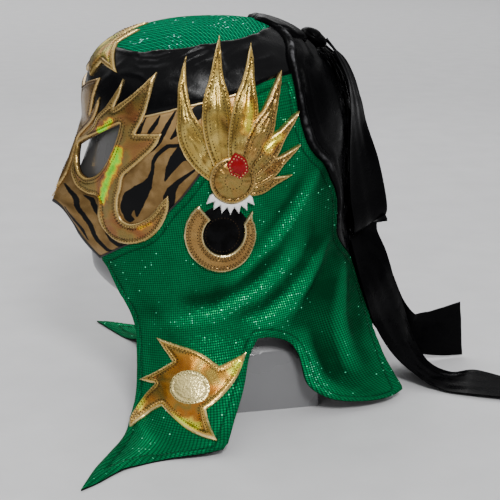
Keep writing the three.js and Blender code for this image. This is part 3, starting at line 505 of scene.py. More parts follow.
def hermite(points, step):
    """A smooth open line through the points, with places no further apart than step."""
    if len(points) == 2:
        count = max(int(np.ceil(np.hypot(*(points[1] - points[0])) / step)), 1)
        return points[0] + (points[1] - points[0]) * (np.arange(count)[:, None] / count)
    time = np.concatenate([[0], np.cumsum(np.hypot(*np.diff(points, axis=0).T) ** 0.7)])
    slope = np.zeros_like(points)
    slope[1:-1] = (points[2:] - points[:-2]) / (time[2:] - time[:-2])[:, None]
    slope[0] = 1.5 * (points[1] - points[0]) / (time[1] - time[0]) - 0.5 * slope[1]
    slope[-1] = 1.5 * (points[-1] - points[-2]) / (time[-1] - time[-2]) - 0.5 * slope[-2]
    rows = []
    for i in range(len(points) - 1):
        span = time[i + 1] - time[i]
        count = max(int(np.ceil(np.hypot(*(points[i + 1] - points[i])) / step)), 1)
        s = (np.arange(count) / count)[:, None]
        rows.append((2 * s ** 3 - 3 * s ** 2 + 1) * points[i] + (s ** 3 - 2 * s ** 2 + s) * span * slope[i]
                    + (3 * s ** 2 - 2 * s ** 3) * points[i + 1] + (s ** 3 - s ** 2) * span * slope[i + 1])
    return np.concatenate(rows)


def is_corner(before, point, after, limit):
    one, two = point - before, after - point
    cosine = (one @ two) / max(np.hypot(*one) * np.hypot(*two), TINY)
    return cosine < math.cos(math.radians(limit))


def smooth_line(outline, step=1.6, limit=48):
    """An open seam in mm on the unrolled skin, smooth between its corners; its last point is left off."""
    points = to_mm(outline)
    cuts = [0] + [i for i in range(1, len(points) - 1)
                  if is_corner(points[i - 1], points[i], points[i + 1], limit)] + [len(points) - 1]
    return np.concatenate([hermite(points[a:b + 1], step) for a, b in zip(cuts[:-1], cuts[1:])])


def smooth_loop(outline, step=1.6, limit=48):
    """A closed outline in mm on the unrolled skin, smooth between its corners."""
    points = to_mm(outline)
    count = len(points)
    corners = [i for i in range(count)
               if is_corner(points[i - 1], points[i], points[(i + 1) % count], limit)]
    if not corners:
        wrapped = np.concatenate([points[-3:], points, points[:3]])
        line = hermite(wrapped, step)
        first = int(np.argmin(np.hypot(*(line - points[0]).T)[:len(line) // 2 + 1]))
        last = len(line) // 2 + int(np.argmin(np.hypot(*(line - points[0]).T)[len(line) // 2:]))
        return line[first:last]
    rolled = np.concatenate([points[corners[0]:], points[:corners[0] + 1]])
    return smooth_line(rolled / [MM_PER_DEGREE, 1], step, limit)


def inside(uv, loop):
    """Which points are inside a closed loop."""
    result = np.zeros(len(uv), bool)
    for (x0, y0), (x1, y1) in zip(loop, np.roll(loop, -1, axis=0)):
        if y0 == y1:
            continue
        crosses = (uv[:, 1] > y0) != (uv[:, 1] > y1)
        result ^= crosses & (uv[:, 0] < (x1 - x0) * (uv[:, 1] - y0) / (y1 - y0) + x0)
    return result


def edge_distance(uv, loops):
    best = np.full(len(uv), FAR)
    for loop in loops:
        off, _, _ = near_line(uv, np.concatenate([loop, loop[:1]]))
        best = np.minimum(best, off)
    return best


def fill(loop, holes, step):
    """Triangles inside a loop and outside its holes: points in mm, triangles, distance to the edge."""
    loops = [loop] + holes
    low, high = loop.min(0), loop.max(0)
    row = step * 0.866
    grid = []
    for j, v in enumerate(np.arange(low[1], high[1], row)):
        us = np.arange(low[0] + (j % 2) * step / 2, high[0], step)
        grid.append(np.stack([us, np.full(len(us), v)], -1))
    grid = np.concatenate(grid)
    grid = grid[inside(grid, loop)]
    for hole in holes:
        grid = grid[~inside(grid, hole)]
    grid = grid[edge_distance(grid, loops) > 0.5 * step]
    points = np.concatenate(loops + [grid])
    edges = []
    start = 0
    for one in loops:
        edges += [(start + i, start + (i + 1) % len(one)) for i in range(len(one))]
        start += len(one)
    found = delaunay_2d_cdt([Vector(p) for p in points], edges, [], 0, 1e-5, False)
    uv = np.array([tuple(p) for p in found[0]], float)
    triangles = np.array([face for face in found[2] if len(face) == 3], int)
    middle = uv[triangles].mean(1)
    keep = inside(middle, loop)
    for hole in holes:
        keep &= ~inside(middle, hole)
    triangles = triangles[keep]
    a, b, c = (uv[triangles[:, k]] for k in range(3))
    area = np.cross(b - a, c - a)
    triangles = triangles[np.abs(area) > 1e-6]
    area = area[np.abs(area) > 1e-6]
    triangles = np.where((area > 0)[:, None], triangles[:, [0, 2, 1]], triangles)
    used, flat = np.unique(triangles, return_inverse=True)
    return uv[used], flat.reshape(-1, 3), edge_distance(uv[used], loops)


def border(triangles):
    """The directed edges that only one triangle has."""
    sides = np.concatenate([triangles[:, [0, 1]], triangles[:, [1, 2]], triangles[:, [2, 0]]])
    known = set(map(tuple, sides.tolist()))
    return np.array([side for side in sides.tolist() if (side[1], side[0]) not in known], int)


def quads(a, b, c, d):
    """Two triangles for each four corners: a, b, d and a, d, c."""
    return np.stack([a, b, d, a, d, c], -1).reshape(-1, 3)


def ring_faces(rings, places, closed=False):
    """Triangles between neighbouring rings of points, and from the last to the first if closed."""
    here = np.arange((rings if closed else rings - 1) * places)
    beside = here - here % places + (here + 1) % places
    total = rings * places
    return quads(here, beside, (here + places) % total, (beside + places) % total)


class Parts:
    """Vertices and triangles gathered for one object."""

    def __init__(self):
        self.points, self.faces, self.slots = [], [], []
        self.maps, self.edges, self.marks = [], [], []
        self.count = 0

    def add(self, points, faces, slot=0, uv=None, edge=None, mark=None):
        size = len(points)
        self.points.append(np.asarray(points, float))
        self.faces.append(np.asarray(faces, int) + self.count)
        self.slots.append(np.broadcast_to(slot, len(faces)))
        self.maps.append(np.zeros((size, 2)) if uv is None else uv)
        self.edges.append(np.full(size, NO_EDGE) if edge is None else edge)
        self.marks.append(np.zeros(size) if mark is None else mark)
        self.count += size

    def close(self, faces, slot):
        """Faces between points that are already there."""
        self.faces.append(np.asarray(faces, int))
        self.slots.append(np.full(len(faces), slot))

    def build(self, name, materials, sharp=46, merged=False):
        """The finished object. Points that fall together are merged if asked."""
        points = np.concatenate(self.points) * MM
        faces = np.concatenate(self.faces)
        mesh = bpy.data.meshes.new(name)
        mesh.vertices.add(len(points))
        mesh.vertices.foreach_set("co", points.ravel())
        mesh.loops.add(3 * len(faces))
        mesh.loops.foreach_set("vertex_index", faces.ravel())
        mesh.polygons.add(len(faces))
        mesh.polygons.foreach_set("loop_start", np.arange(len(faces)) * 3)
        mesh.polygons.foreach_set("loop_total", np.full(len(faces), 3))
        mesh.polygons.foreach_set("material_index", np.concatenate(self.slots).astype(int))
        mesh.update(calc_edges=True)
        layer = mesh.uv_layers.new(name="cut")
        layer.data.foreach_set("uv", np.concatenate(self.maps)[faces.ravel()].ravel())
        for title, values in (("edge", self.edges), ("mark", self.marks)):
            field = mesh.attributes.new(title, "FLOAT", "POINT")
            field.data.foreach_set("value", np.concatenate(values).astype(np.float32))
        mesh.polygons.foreach_set("use_smooth", np.ones(len(faces), bool))
        mesh.set_sharp_from_angle(angle=math.radians(sharp))
        for material in materials:
            mesh.materials.append(MATERIALS[material])
        if merged:
            work = bmesh.new()
            work.from_mesh(mesh)
            bmesh.ops.remove_doubles(work, verts=work.verts, dist=1e-6)
            work.to_mesh(mesh)
            work.free()
        piece = bpy.data.objects.new(name, mesh)
        bpy.context.scene.collection.objects.link(piece)
        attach(piece, "root")
        return piece


def add_shell(parts, uv, triangles, top, bottom, edge, slots=(0, 0), mark=None):
    """A closed layer of cloth between two heights over the skin. The slots are of its upper side
    and of the rest."""
    size = len(uv)
    rim = border(triangles)
    wall = quads(rim[:, 1], rim[:, 0], rim[:, 1] + size, rim[:, 0] + size)
    faces = np.concatenate([triangles, triangles[:, [0, 2, 1]] + size, wall])
    slot = np.concatenate([np.full(len(triangles), slots[0]),
                           np.full(len(triangles) + len(wall), slots[1])])
    mark = np.zeros(size) if mark is None else mark
    parts.add(np.concatenate([over(uv, top), over(uv, bottom)]), faces, slot, np.concatenate([uv, uv]),
              np.concatenate([edge, edge]), np.concatenate([mark, mark]))


def contours(uv, triangles, values, level):
    """Lines on the unrolled skin where the values reach the level."""
    links = {}
    places = {}
    above = values > level
    for triangle in triangles[(above[triangles].sum(1) % 3) > 0].tolist():
        cut = []
        for a, b in ((0, 1), (1, 2), (2, 0)):
            i, j = sorted((triangle[a], triangle[b]))
            if above[i] != above[j]:
                share = (level - values[i]) / (values[j] - values[i])
                places[(i, j)] = uv[i] + (uv[j] - uv[i]) * share
                cut.append((i, j))
        links.setdefault(cut[0], []).append(cut[1])
        links.setdefault(cut[1], []).append(cut[0])
    lines = []
    seen = set()
    for first in sorted(links, key=lambda key: len(links[key])):
        if first in seen:
            continue
        chain = [first]
        seen.add(first)
        while True:
            after = [key for key in links[chain[-1]] if key not in seen]
            if not after:
                break
            chain.append(after[0])
            seen.add(after[0])
        if len(chain) > 3:
            closed = first in links[chain[-1]]
            lines.append(np.array([places[key] for key in chain + ([first] if closed else [])]))
    return lines


def add_stitches(parts, line, lift, slot, pitch, size):
    """Short raised threads along a line on the unrolled skin, standing at the given height."""
    walk = over(line, lift)
    steps = np.linalg.norm(np.diff(walk, axis=0), axis=1)
    run = np.concatenate([[0], np.cumsum(steps)])
    count = int(run[-1] // pitch)
    if count < 1:
        return
    at = (np.arange(count) + 0.5) * run[-1] / count
    middle = np.stack([np.interp(at, run, line[:, k]) for k in range(2)], -1)
    spot = over(middle, lift)
    ahead = np.stack([np.interp(at + 0.4, run, walk[:, k]) - np.interp(at - 0.4, run, walk[:, k])
                      for k in range(3)], -1)
    ahead /= np.maximum(np.linalg.norm(ahead, axis=1, keepdims=True), TINY)
    up = outward(middle[:, 0] / MM_PER_DEGREE, middle[:, 1])
    across = np.cross(up, ahead)
    long, wide, high = size
    corners = [ahead * long / 2, across * wide / 2, -ahead * long / 2, -across * wide / 2,
               up * high, -up * 0.3]
    points = np.stack([spot + corner for corner in corners], 1).reshape(-1, 3)
    sides = [(0, 1, 4), (1, 2, 4), (2, 3, 4), (3, 0, 4), (1, 0, 5), (2, 1, 5), (3, 2, 5), (0, 3, 5)]
    faces = (np.arange(count)[:, None, None] * len(corners) + np.array(sides)).reshape(-1, 3)
    parts.add(points, faces, slot)


def add_tube(parts, line, radius, closed=False, sides=6):
    """A round tube along points in mm."""
    if closed:
        ahead = np.roll(line, -1, 0) - np.roll(line, 1, 0)
    else:
        ahead = np.gradient(line, axis=0)
    ahead /= np.maximum(np.linalg.norm(ahead, axis=1, keepdims=True), TINY)
    up = np.zeros_like(line)
    way = np.cross(ahead[0], [0.31, 0.2, 0.93])
    for i in range(len(line)):
        way = way - ahead[i] * (way @ ahead[i])
        way = way / np.linalg.norm(way)
        up[i] = way
    across = np.cross(ahead, up)
    angles = [2 * math.pi * k / sides for k in range(sides)]
    points = np.stack([line + (up * math.cos(angle) + across * math.sin(angle)) * radius
                       for angle in angles], 1).reshape(-1, 3)
    parts.add(points, ring_faces(len(line), sides, closed))
    if not closed:
        last = len(points) - sides
        caps = []
        for k in range(1, sides - 1):
            caps += [(0, k + 1, k), (last, last + k, last + k + 1)]
        parts.close(np.array(caps) + parts.count - len(points), 0)


def add_rings(parts, points, uv=None, mark=None):
    """Rows of points, each row closed into a ring."""
    parts.add(points.reshape(-1, 3), ring_faces(*points.shape[:2]), 0,
              None if uv is None else uv.reshape(-1, 2), None, mark)


def scaled(colour, share):
    return tuple(c * share for c in colour)


def feed(tree, socket, value):
    """Joins a node's output to a socket, or sets the socket where the value is the same all over."""
    if isinstance(value, bpy.types.NodeSocket):
        tree.links.new(value, socket)
    else:
        socket.default_value = value


def node(tree, kind, props=None, **inputs):
    """A shader node. Inputs go by name, or by number as i0, i1 and so on."""
    made = tree.nodes.new(kind)
    for key, value in (props or {}).items():
        setattr(made, key, value)
    for key, value in inputs.items():
        feed(tree, made.inputs[int(key[1:]) if key[1:].isdigit() else key], value)
    return made


def maths(tree, operation, a, b=0.0, c=0.0):
    return node(tree, "ShaderNodeMath", {"operation": operation}, i0=a, i1=b, i2=c).outputs[0]


def plus(tree, a, b):
    return maths(tree, "ADD", a, b)


def minus(tree, a, b):
    return maths(tree, "SUBTRACT", a, b)


def times(tree, a, b):
    return maths(tree, "MULTIPLY", a, b)


def mix(tree, share, a, b):
    made = node(tree, "ShaderNodeMix", {"data_type": "RGBA"}, i0=share)
    for socket, value in ((made.inputs[6], a), (made.inputs[7], b)):
        feed(tree, socket, (*value, 1) if isinstance(value, tuple) else value)
    return made.outputs[2]


def between(tree, value, low, high, to_low=0.0, to_high=1.0):
    """A smooth step from one value to another while the input goes from low to high."""
    made = node(tree, "ShaderNodeMapRange", {"interpolation_type": "SMOOTHSTEP"}, i0=value, i1=low,
                i2=high, i3=to_low, i4=to_high)
    return made.outputs[0]


def ramp(tree, factor, stops):
    made = node(tree, "ShaderNodeValToRGB", i0=factor)
    bar = made.color_ramp
    while len(bar.elements) < len(stops):
        bar.elements.new(0.5)
    for element, (place, colour) in zip(bar.elements, stops):
        element.position = place
        element.color = (*colour, 1)
    return made.outputs[0]


def cut_map(tree, scale=1.0, turn=0.0):
    """The place on the unrolled cloth in mm, scaled and turned."""
    where = node(tree, "ShaderNodeUVMap", {"uv_map": "cut"})
    made = node(tree, "ShaderNodeMapping", i0=where.outputs[0], i2=(0, 0, math.radians(turn)),
                i3=(scale, scale, scale))
    return made.outputs[0]


def noise(tree, vector, scale, detail=3.0, rough=0.55, distortion=0.0):
    made = node(tree, "ShaderNodeTexNoise", Vector=vector, Scale=scale, Detail=detail, Roughness=rough,
                Distortion=distortion)
    return made.outputs[0]


def cells(tree, vector, scale=1.0, randomness=0.0):
    """Flat cells, in even rows unless they are made random."""
    return node(tree, "ShaderNodeTexVoronoi", {"voronoi_dimensions": "2D"}, Vector=vector, Scale=scale,
                Randomness=randomness)


def bump(tree, height, distance, strength, normal=None):
    made = node(tree, "ShaderNodeBump", Height=height, Distance=distance, Strength=strength)
    if normal is not None:
        tree.links.new(normal, made.inputs["Normal"])
    return made.outputs[0]


def field(tree, name):
    """A value kept in the mesh: edge is the distance to the cut edge in mm, and mark is the height of the
    folds, which sets painted light, shade and highlights, the distance to the stripes or the distance to
    the painted rainbow patches."""
    return node(tree, "ShaderNodeAttribute", {"attribute_name": name}).outputs["Fac"]


def material(name):
    """A new material, as its node tree and its shader."""
    made = bpy.data.materials.new(name)
    made.use_nodes = True
    MATERIALS[name] = made
    return made.node_tree, made.node_tree.nodes["Principled BSDF"]


def finish_shader(tree, shader, colour, rough, normal, metal, **others):
    sockets = {"Base_Color": colour, "Roughness": rough, "Metallic": metal, "Normal": normal, **others}
    for key, value in sockets.items():
        feed(tree, shader.inputs[key.replace("_", " ")], value)


def dotted_cloth(name, under, dot, painted_glint_colour, turn, tilt, crowd, metallic, rows=0.0, hem=0.0):
    """Stretch cloth printed with a grid of tiny foil dots, each tilted its own way, with painted light and
    shade that follows the fold height. Painted sparkles, which also glow, lie mostly on the ridges of the
    folds.
    Rows is how dark the lines between rows are, and hem is how far the hem's groove, with its painted shade
    line, is from the edge."""
    tree, shader = material(name)
    cell = cells(tree, cut_map(tree, 1 / DOT_PITCH, turn))
    spot = between(tree, cell.outputs["Distance"], 0.3, 0.5, 1.0, 0.0)
    tint = node(tree, "ShaderNodeSeparateColor", i0=cell.outputs["Color"])
    cloudy = noise(tree, cut_map(tree), 0.035, 2.0)
    relief_here = field(tree, "mark")
    # Painted light and shade: with the fold height, the cloth between the dots darkens in the valleys, and
    # the dots darken in the valleys and lighten on the tops of the folds.
    high = between(tree, relief_here, -2.2, 2.6)
    under = mix(tree, between(tree, high, 0.08, 0.45), scaled(under, 0.45), under)
    shade = ramp(tree, high, [(0.06, scaled(dot, 0.28)), (0.42, dot),
                              (0.62, scaled(dot, 1.3)), (0.9, scaled(dot, 2.2))])
    shade = mix(tree, between(tree, cloudy, 0.35, 0.7, 0.0, 0.3), shade, scaled(dot, 1.6))
    # Painted sparkles: a few dots, more of them along the fold ridges, take the sparkle colour and glow.
    cluster = between(tree, noise(tree, cut_map(tree), 0.05, 3.0), 0.46, 0.66, 0.0, crowd)
    ridge = times(tree, between(tree, relief_here, 0.7, 1.9, 0.0, 0.4),
                  between(tree, noise(tree, cut_map(tree), 0.16, 3.0), 0.4, 0.6, 0.15, 1.0))
    lit_above = minus(tree, 0.994, plus(tree, cluster, ridge))
    lucky = between(tree, minus(tree, tint.outputs[2], lit_above), 0.0, 0.02)
    small = between(tree, cell.outputs["Distance"], 0.2, 0.34, 1.0, 0.0)
    force = between(tree, tint.outputs[0], 0.1, 0.9, 0.2, 1.0)
    bright = times(tree, lucky, times(tree, small, force))
    colour = mix(tree, spot, under, shade)
    if rows:
        across = node(tree, "ShaderNodeSeparateXYZ", i0=cut_map(tree, 1.0, ROW_TURN)).outputs[1]
        line = maths(tree, "SINE", times(tree, across, 2 * math.pi / ROW_PITCH))
        colour = mix(tree, between(tree, line, 0.0, 0.9, 0.0, rows), colour, under)
    # Painted shade: a dark line along the hem's groove.
    if hem:
        seam_off = maths(tree, "ABSOLUTE", minus(tree, field(tree, "edge"), hem))
        colour = mix(tree, between(tree, seam_off, 0.2, 1.0, 0.5, 0.0), colour, scaled(dot, 0.12))
    colour = mix(tree, bright, colour, painted_glint_colour)
    tilted = node(tree, "ShaderNodeNormalMap", {"uv_map": "cut"},
                  Color=mix(tree, tilt, (0.5, 0.5, 1.0), cell.outputs["Color"]))
    weave = noise(tree, cut_map(tree), 3.2, 1.0)
    normal = bump(tree, plus(tree, spot, times(tree, weave, 0.4)), 0.00016, 0.6,
                  tilted.outputs[0])
    rough = minus(tree, 0.6, times(tree, spot, 0.22))
    metal = plus(tree, times(tree, spot, metallic), times(tree, bright, 0.4))
    # The painted sparkles glow through the emission.
    finish_shader(tree, shader, colour, rough, normal, metal, Specular_IOR_Level=0.0,
                  Emission_Color=(*painted_glint_colour, 1), Emission_Strength=times(tree, bright, 0.4))


def satin(name, colour, rough, streak, ridge=0.0, bend=1.15):
    """Stretch satin: a fine weave under soft streaks of gloss, with a painted highlight along its raised
    folds.
    Ridge is how light that painted highlight is, and bend is the refraction that sets the gloss."""
    tree, shader = material(name)
    flow = noise(tree, cut_map(tree), 0.09, 4.0, 0.6, 0.6)
    grain = noise(tree, cut_map(tree), 2.6, 2.0)
    shine = plus(tree, rough, times(tree, between(tree, flow, 0.3, 0.7), streak))
    tone = mix(tree, grain, colour, scaled(colour, 1.9))
    # Painted highlight: the colour turns lighter, in patches, along the tops of the raised folds.
    painted_crest_highlight = between(tree, field(tree, "mark"), 0.35, 1.3)
    patchy = between(tree, noise(tree, cut_map(tree), 0.12, 3.0), 0.35, 0.65)
    tone = mix(tree, times(tree, painted_crest_highlight, patchy), tone, (ridge, ridge, ridge * 1.05))
    weave = cells(tree, cut_map(tree, 1.6, 45))
    normal = bump(tree, weave.outputs["Distance"], 0.00005, 0.5, bump(tree, flow, 0.0008, 0.4))
    finish_shader(tree, shader, tone, shine, normal, 0.0, IOR=bend)


def tiger(name):
    """Dull gold foil printed with black stripes, rubbed thin in fine specks, painted lighter towards the
    top as painted light and darker lower down as painted shade.
    """
    tree, shader = material(name)
    wander = noise(tree, cut_map(tree), 0.45, 3.0)
    mark = plus(tree, field(tree, "mark"), minus(tree, wander, 0.5))
    black = between(tree, mark, -0.18, 0.18, 1.0, 0.0)
    cloud = noise(tree, cut_map(tree), 0.09, 2.0, 0.5, 0.2)
    grain = noise(tree, cut_map(tree), 1.6, 4.0, 0.65)
    gold = ramp(tree, cloud, [(0.3, (0.20, 0.115, 0.04)), (0.5, (0.30, 0.18, 0.065)),
                              (0.66, (0.42, 0.27, 0.115))])
    worn_and_painted_light = mix(tree, between(tree, grain, 0.54, 0.74), gold, (0.10, 0.055, 0.02))
    # Painted light and shade: lighter towards the top of the face, darker from the middle down.
    drop = node(tree, "ShaderNodeSeparateXYZ", i0=cut_map(tree)).outputs[1]
    worn_and_painted_light = mix(tree, between(tree, drop, 126.0, 146.0, 0.0, 0.3), worn_and_painted_light, (0.06, 0.035, 0.014))
    worn_and_painted_light = mix(tree, between(tree, drop, 112.0, 132.0, 0.4, 0.0), worn_and_painted_light, (0.62, 0.40, 0.18))
    colour = mix(tree, black, worn_and_painted_light, (0.0035, 0.0035, 0.004))
    rough = plus(tree, times(tree, black, 0.12), between(tree, grain, 0.3, 0.7, 0.3, 0.46))
    metal = minus(tree, 0.75, times(tree, black, 0.75))
    normal = bump(tree, minus(tree, 1.0, black), 0.0002, 0.8, bump(tree, grain, 0.00012, 0.6))
    finish_shader(tree, shader, colour, rough, normal, metal, IOR=1.2)


def foil(name, rim, bound, field_tones, glow, crinkle, rim_wide=1.0):
    """Gold leatherette: a bright cut edge, a bound rim and a field that shifts from brown to orange,
    with a painted rainbow reflection, which also glows, where the mark is near nought."""
    tree, shader = material(name)
    edge = field(tree, "edge")
    cloud = noise(tree, cut_map(tree), 0.05, 2.0, 0.5, 0.4)
    fine = noise(tree, cut_map(tree), 1.3, 4.0, 0.65)
    pebble = cells(tree, cut_map(tree), 1.5, 1.0)
    tone = ramp(tree, cloud, field_tones)
    colour = mix(tree, between(tree, edge, 2.9, 3.5), bound, tone)
    # Painted reflection: rainbow colours laid near the patches' lines, mixed into the colour.
    wander = maths(tree, "MULTIPLY_ADD", noise(tree, cut_map(tree), 0.2, 3.0, 0.6, 0.4), 8.0, -4.0)
    near = maths(tree, "DIVIDE", plus(tree, field(tree, "mark"), wander), 6.5)
    bright = ramp(tree, near, glow)
    shares = between(tree, near, 0.5, 0.95, 0.92, 0.0)
    flare = between(tree, noise(tree, cut_map(tree), 0.13, 2.0), 0.35, 0.6)
    colour = mix(tree, shares, colour, bright)
    colour = mix(tree, between(tree, edge, rim_wide - 0.3, rim_wide + 0.25, 1.0, 0.0), colour, rim)
    colour = mix(tree, between(tree, fine, 0.56, 0.78, 0.0, 0.55), colour, scaled(bound, 0.3))
    # Painted shade: a dark line along the stitched groove.
    off = maths(tree, "ABSOLUTE", minus(tree, edge, FOIL_GROOVE))
    colour = mix(tree, between(tree, off, 0.12, 0.5, 0.7, 0.0), colour, (0.04, 0.02, 0.006))
    rough = between(tree, fine, 0.3, 0.75, 0.2, 0.4)
    height = plus(tree, times(tree, pebble.outputs["Distance"], 0.4), fine)
    normal = bump(tree, height, 0.0002, crinkle, bump(tree, cloud, 0.004, 0.5))
    # The painted rainbow reflection glows, in patches.
    light = times(tree, between(tree, near, 0.1, 0.8, 0.36, 0.0), flare)
    finish_shader(tree, shader, colour, rough, normal, 0.88, Coat_Weight=0.15, Coat_Roughness=0.12,
                  Emission_Color=bright, Emission_Strength=light)


def plain(name, colour, rough, spread, metal=0.0, grain_scale=700.0, depth=0.00005, face=None, **fixed):
    """A moulded or coated surface with slight mottling and grain. Face is a darker tone painted above the
    chin, as painted shade.
    """
    tree, shader = material(name)
    where = node(tree, "ShaderNodeTexCoord").outputs["Object"]
    cloud = noise(tree, where, 18.0, 3.0)
    grain = noise(tree, where, grain_scale, 2.0)
    tone = mix(tree, cloud, scaled(colour, 0.9), tuple(min(c * 1.12, 1) for c in colour))
    # Painted shade: above the chin the surface turns to the darker face tone.
    if face is not None:
        tall = node(tree, "ShaderNodeSeparateXYZ", i0=where).outputs[2]
        tone = mix(tree, between(tree, tall, 0.1, 0.165), tone, face)
    shine = between(tree, cloud, 0.3, 0.7, rough, rough + spread)
    finish_shader(tree, shader, tone, shine, bump(tree, grain, depth, 0.5), metal, **fixed)


# Each cloth's third colour is the colour of its painted sparkles.
dotted_cloth("skirt_green", (0.0, 0.052, 0.018), (0.0, 0.135, 0.045), (0.12, 0.78, 0.42), 6, 0.13, 0.05,
             0.35, hem=SKIRT_HEM_GROOVE)
dotted_cloth("crown_green", (0.0, 0.04, 0.018), (0.0, 0.3, 0.13), (0.3, 1.0, 0.85), 28, 0.1, 0.26,
             0.05, rows=0.9)
# The third number of each satin is how light its painted highlight along the folds is.
satin("band_satin", (0.0015, 0.0015, 0.0018), 0.17, 0.16, 0.05, 1.2)
satin("facing_satin", (0.001, 0.001, 0.0012), 0.2, 0.2, 0.12, 1.12)
satin("lining_black", (0.0015, 0.0015, 0.0018), 0.5, 0.2)
tiger("tiger_print")
# Colours of the painted rainbow and amber reflections on the foils
RAINBOW = [(0.02, (0.16, 0.74, 0.02)), (0.2, (0.32, 0.85, 0.0)), (0.4, (0.62, 0.74, 0.0)),
           (0.56, (0.85, 0.42, 0.01)), (0.8, (0.55, 0.15, 0.03))]
AMBER = [(0.15, (0.75, 0.62, 0.05)), (0.45, (0.8, 0.5, 0.05)), (0.75, (0.6, 0.25, 0.03))]
foil("gold_foil", (0.64, 0.46, 0.19), (0.46, 0.30, 0.09),
     [(0.3, (0.25, 0.09, 0.028)), (0.42, (0.28, 0.125, 0.036)), (0.5, (0.30, 0.175, 0.042)),
      (0.58, (0.22, 0.16, 0.045)), (0.68, (0.32, 0.17, 0.055))], RAINBOW, 0.5, 0.75)
foil("plume_foil", (0.78, 0.56, 0.20), (0.40, 0.26, 0.055),
     [(0.3, (0.24, 0.135, 0.028)), (0.45, (0.38, 0.25, 0.05)), (0.6, (0.55, 0.40, 0.11)),
      (0.72, (0.33, 0.20, 0.04))], AMBER, 0.6)
foil("plume_dark", (0.62, 0.43, 0.16), (0.34, 0.20, 0.05),
     [(0.3, (0.22, 0.09, 0.02)), (0.44, (0.30, 0.16, 0.035)), (0.54, (0.26, 0.18, 0.045)),
      (0.66, (0.36, 0.20, 0.05))], AMBER, 0.6)
foil("bridge_gold", (0.55, 0.37, 0.14), (0.24, 0.14, 0.05),
     [(0.3, (0.17, 0.085, 0.02)), (0.5, (0.26, 0.155, 0.035)), (0.7, (0.19, 0.1, 0.025))], AMBER, 0.5)
foil("brow_gold", (0.64, 0.45, 0.16), (0.38, 0.24, 0.055),
     [(0.3, (0.34, 0.14, 0.02)), (0.42, (0.46, 0.25, 0.03)), (0.52, (0.34, 0.32, 0.03)),
      (0.64, (0.5, 0.28, 0.04)), (0.72, (0.32, 0.12, 0.025))], AMBER, 0.5)
foil("star_foil", (0.82, 0.62, 0.26), (0.56, 0.34, 0.07),
     [(0.3, (0.31, 0.10, 0.009)), (0.42, (0.40, 0.145, 0.012)), (0.5, (0.24, 0.16, 0.03)),
      (0.6, (0.42, 0.18, 0.016)), (0.72, (0.32, 0.11, 0.01))],
     [(0.1, (0.65, 0.75, 0.03)), (0.4, (0.75, 0.6, 0.04)), (0.7, (0.7, 0.35, 0.04))], 0.45)
foil("light_foil", (0.66, 0.54, 0.27), (0.30, 0.175, 0.05),
     [(0.3, (0.24, 0.125, 0.032)), (0.5, (0.30, 0.165, 0.045)), (0.7, (0.34, 0.20, 0.06))], AMBER,
     0.35, 1.1)
plain("disc_foil", (1.0, 0.76, 0.32), 0.16, 0.16, metal=0.97, grain_scale=620.0, depth=0.0012)
plain("thread_brown", (0.022, 0.012, 0.004), 0.6, 0.1, IOR=1.2)
plain("thread_pale", (0.55, 0.40, 0.17), 0.45, 0.1, metal=0.3)
plain("thread_green", (0.003, 0.05, 0.022), 0.6, 0.1)
plain("thread_black", (0.012, 0.012, 0.013), 0.5, 0.1)
plain("piping_gold", (0.62, 0.46, 0.22), 0.3, 0.1, metal=0.8)
# The head form is painted darker above the chin, as painted shade on its face inside the mask.
plain("form_plastic", (0.175, 0.175, 0.18), 0.25, 0.1, grain_scale=300.0, depth=0.00003,
      face=(0.07, 0.068, 0.066), Coat_Weight=0.2)
plain("white_vinyl", (0.82, 0.82, 0.80), 0.25, 0.1)
plain("red_vinyl", (0.22, 0.003, 0.006), 0.25, 0.08, IOR=1.25)
plain("floor_cloth", (0.66, 0.66, 0.67), 0.7, 0.1, grain_scale=400.0, depth=0.0002)


def same(loop):
    return loop


def flipped(loop):
    return loop * [-1, 1]


def shortened(line):
    """The right flap is shorter past the place where the cloth meets the table."""
    line = line.copy()
    flap = (line[:, 1] > FLOOR_DROP) & (np.abs(line[:, 0]) < 90 * MM_PER_DEGREE)
    line[flap, 1] = FLOOR_DROP + (line[flap, 1] - FLOOR_DROP) * RIGHT_FLAP_LENGTH
    return line


# How a left outline is turned, and how a skirt is cut, on each side
SIDES = {"left": (same, same), "right": (flipped, shortened)}


def join(*lines):
    """Seams closed into one loop, without doubled points."""
    loop = np.concatenate(lines)
    apart = np.hypot(*(loop - np.roll(loop, 1, 0)).T) > 0.05
    return loop[apart]


def whole(half):
    """A half outline from the middle line, joined to its mirror image."""
    return join(half, flipped(half)[::-1])


def seam(outline):
    """A smooth seam that keeps its last point."""
    return np.concatenate([smooth_line(outline), [to_mm(outline[-1])]])


crown, brow, side_seam, cheek, facing_front, facing_side, slit, mouth, rear, hem, tip, front = (
    seam(line) for line in (CROWN_SEAM, BROW_SEAM, SIDE_SEAM, CHEEK_SEAM, FACING_FRONT, FACING_SIDE,
                            SLIT_EDGE, MOUTH_EDGE, SKIRT_REAR, SKIRT_HEM, FLAP_TIP, SKIRT_FRONT))
crown_to_facing = crown[crown[:, 0] < (FACING_FRONT[0][0] - 0.1) * MM_PER_DEGREE]


def sewn_edge(edge, roll=1.3, depth=0.9):
    """A panel dips into its seam."""
    return -depth * bell(edge, roll)


def panel_top(uv, edge):
    return sewn_edge(edge)


